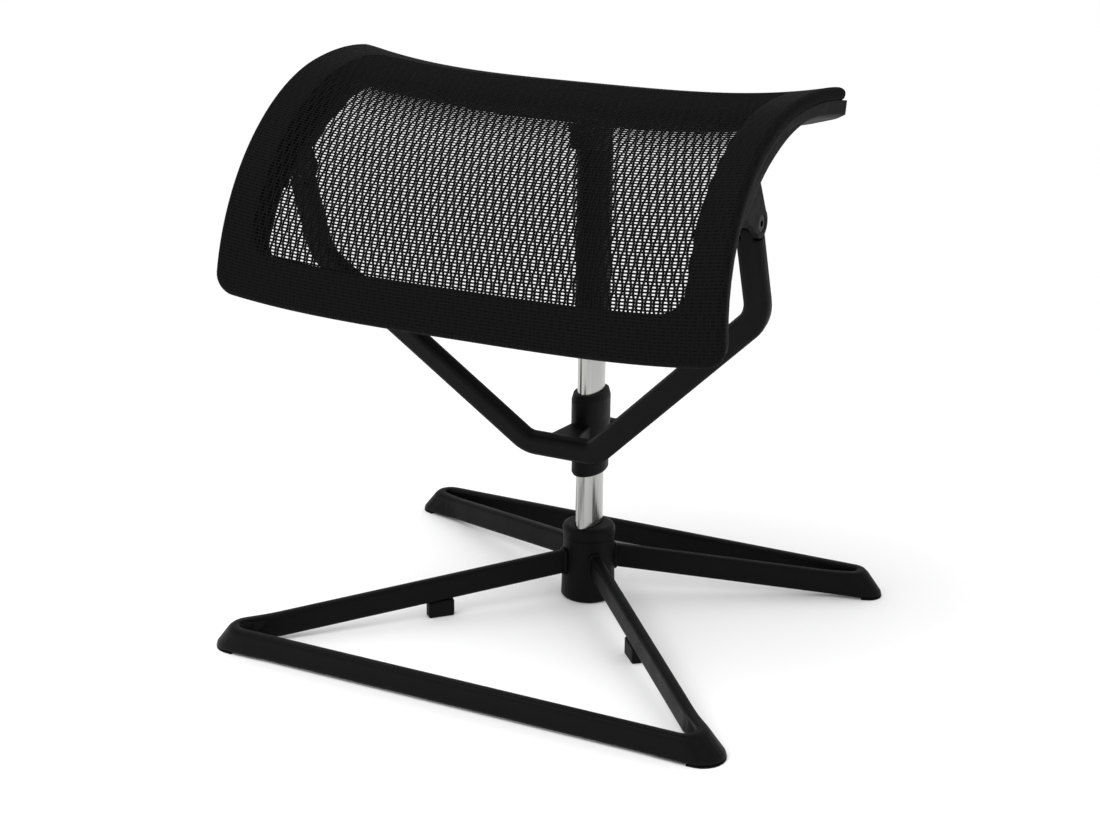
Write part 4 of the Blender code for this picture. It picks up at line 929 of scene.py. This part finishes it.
class OTTOMAN_OT_stage(bpy.types.Operator):
    """Set the pale floor, the soft lights and the camera"""
    bl_idname = "ottoman.stage"
    bl_label = "Set the stage"

    def execute(self, context):
        settings = context.scene.ottoman_stage
        self.lay_floor(settings)
        self.light(context.scene, settings)
        self.place_camera(context.scene)
        context.scene.view_settings.view_transform = "Standard"
        return {"FINISHED"}

    def lay_floor(self, settings):
        """Pale floor that fades into the backdrop."""
        material, tree, shader = new_material("studio floor")
        shader.inputs["Base Color"].default_value = (*settings.floor_color, 1)
        shader.inputs["Roughness"].default_value = 0.9
        shader.inputs["Specular IOR Level"].default_value = 0.0
        away = tree.nodes.new("ShaderNodeVectorMath")
        away.operation = "LENGTH"
        feed(tree, object_coords(tree), away.inputs[0])
        reach = settings.floor_reach
        fade = soft_step(tree, away.outputs["Value"], reach, reach * FLOOR_CLEAR)
        feed(tree, fade, shader.inputs["Alpha"])
        work = bmesh.new()
        bmesh.ops.create_grid(work, x_segments=1, y_segments=1, size=FLOOR_HALF)
        mesh = bpy.data.meshes.new("studio_floor")
        work.to_mesh(mesh)
        work.free()
        mesh.materials.append(material)
        show("studio_floor", mesh)

    def light(self, scene, settings):
        """Even white surroundings, dimmer in reflections, and the soft lamps."""
        world = bpy.data.worlds.new("studio")
        scene.world = world
        world.use_nodes = True
        tree = world.node_tree
        back = tree.nodes["Background"]
        back.inputs["Color"].default_value = (1, 1, 1, 1)
        rays = tree.nodes.new("ShaderNodeLightPath").outputs
        strength = settings.world_strength
        for ray, level in (("Is Glossy Ray", settings.mirror_strength), ("Is Transmission Ray", 1.0),
                           ("Is Camera Ray", 1.0)):
            strength = mix_of(tree, rays[ray], strength, level)
        feed(tree, strength, back.inputs["Strength"])
        for name, place, size, share in LAMPS:
            lamp = bpy.data.lights.new(name, "AREA")
            lamp.energy = settings.key_power * share
            lamp.size = size
            holder = bpy.data.objects.new(name, lamp)
            scene.collection.objects.link(holder)
            holder.location = place
            holder.rotation_euler = (Vector(LAMP_AIM) - Vector(place)).to_track_quat("-Z", "Y").to_euler()

    def place_camera(self, scene):
        """Camera at the photograph's place and angle."""
        level = Vector((-math.sin(CAMERA_AZIMUTH), math.cos(CAMERA_AZIMUTH), 0.0))
        ahead = level * math.cos(CAMERA_PITCH) - Vector((0.0, 0.0, math.sin(CAMERA_PITCH)))
        right = Vector((math.cos(CAMERA_AZIMUTH), math.sin(CAMERA_AZIMUTH), 0.0))
        up = right.cross(ahead)
        turned_right = math.cos(CAMERA_ROLL) * right + math.sin(CAMERA_ROLL) * up
        turned_up = -math.sin(CAMERA_ROLL) * right + math.cos(CAMERA_ROLL) * up
        lens = bpy.data.cameras.new("camera")
        lens.sensor_width = SENSOR_WIDTH
        lens.lens = SENSOR_WIDTH * FOCAL_PX / IMAGE_WIDTH_PX
        camera = bpy.data.objects.new("camera", lens)
        scene.collection.objects.link(camera)
        turn = Matrix((turned_right, turned_up, -ahead)).transposed().to_4x4()
        camera.matrix_world = Matrix.Translation(CAMERA_PLACE) @ turn
        scene.camera = camera


class OTTOMAN_PT_panel(bpy.types.Panel):
    """Lists the steps that dress the ottoman"""
    bl_idname = "OTTOMAN_PT_panel"
    bl_label = "Ottoman"
    bl_space_type = "VIEW_3D"
    bl_region_type = "UI"
    bl_category = "Ottoman"

    def draw(self, context):
        scene = context.scene
        for settings in (scene.ottoman_mesh, scene.ottoman_finish, scene.ottoman_stage):
            box = self.layout.box()
            for name in settings.__annotations__:
                box.prop(settings, name)
        for operator in STEPS:
            self.layout.operator(operator.bl_idname)


STEPS = (OTTOMAN_OT_finishes, OTTOMAN_OT_border_band, OTTOMAN_OT_open_mesh, OTTOMAN_OT_shell_skirts,
         OTTOMAN_OT_weld_beads, OTTOMAN_OT_stage)
CLASSES = (OttomanMeshSettings, OttomanFinishSettings, OttomanStageSettings, *STEPS, OTTOMAN_PT_panel)


def register():
    for entry in CLASSES:
        bpy.utils.register_class(entry)
    bpy.types.Scene.ottoman_mesh = bpy.props.PointerProperty(type=OttomanMeshSettings)
    bpy.types.Scene.ottoman_finish = bpy.props.PointerProperty(type=OttomanFinishSettings)
    bpy.types.Scene.ottoman_stage = bpy.props.PointerProperty(type=OttomanStageSettings)


def unregister():
    del bpy.types.Scene.ottoman_stage
    del bpy.types.Scene.ottoman_finish
    del bpy.types.Scene.ottoman_mesh
    for entry in reversed(CLASSES):
        bpy.utils.unregister_class(entry)


def main():
    register()
    bpy.ops.ottoman.finishes()
    bpy.ops.ottoman.border_band()
    bpy.ops.ottoman.open_mesh()
    bpy.ops.ottoman.shell_skirts()
    bpy.ops.ottoman.weld_beads()
    bpy.ops.ottoman.stage()


if __name__ == "__main__":
    main()
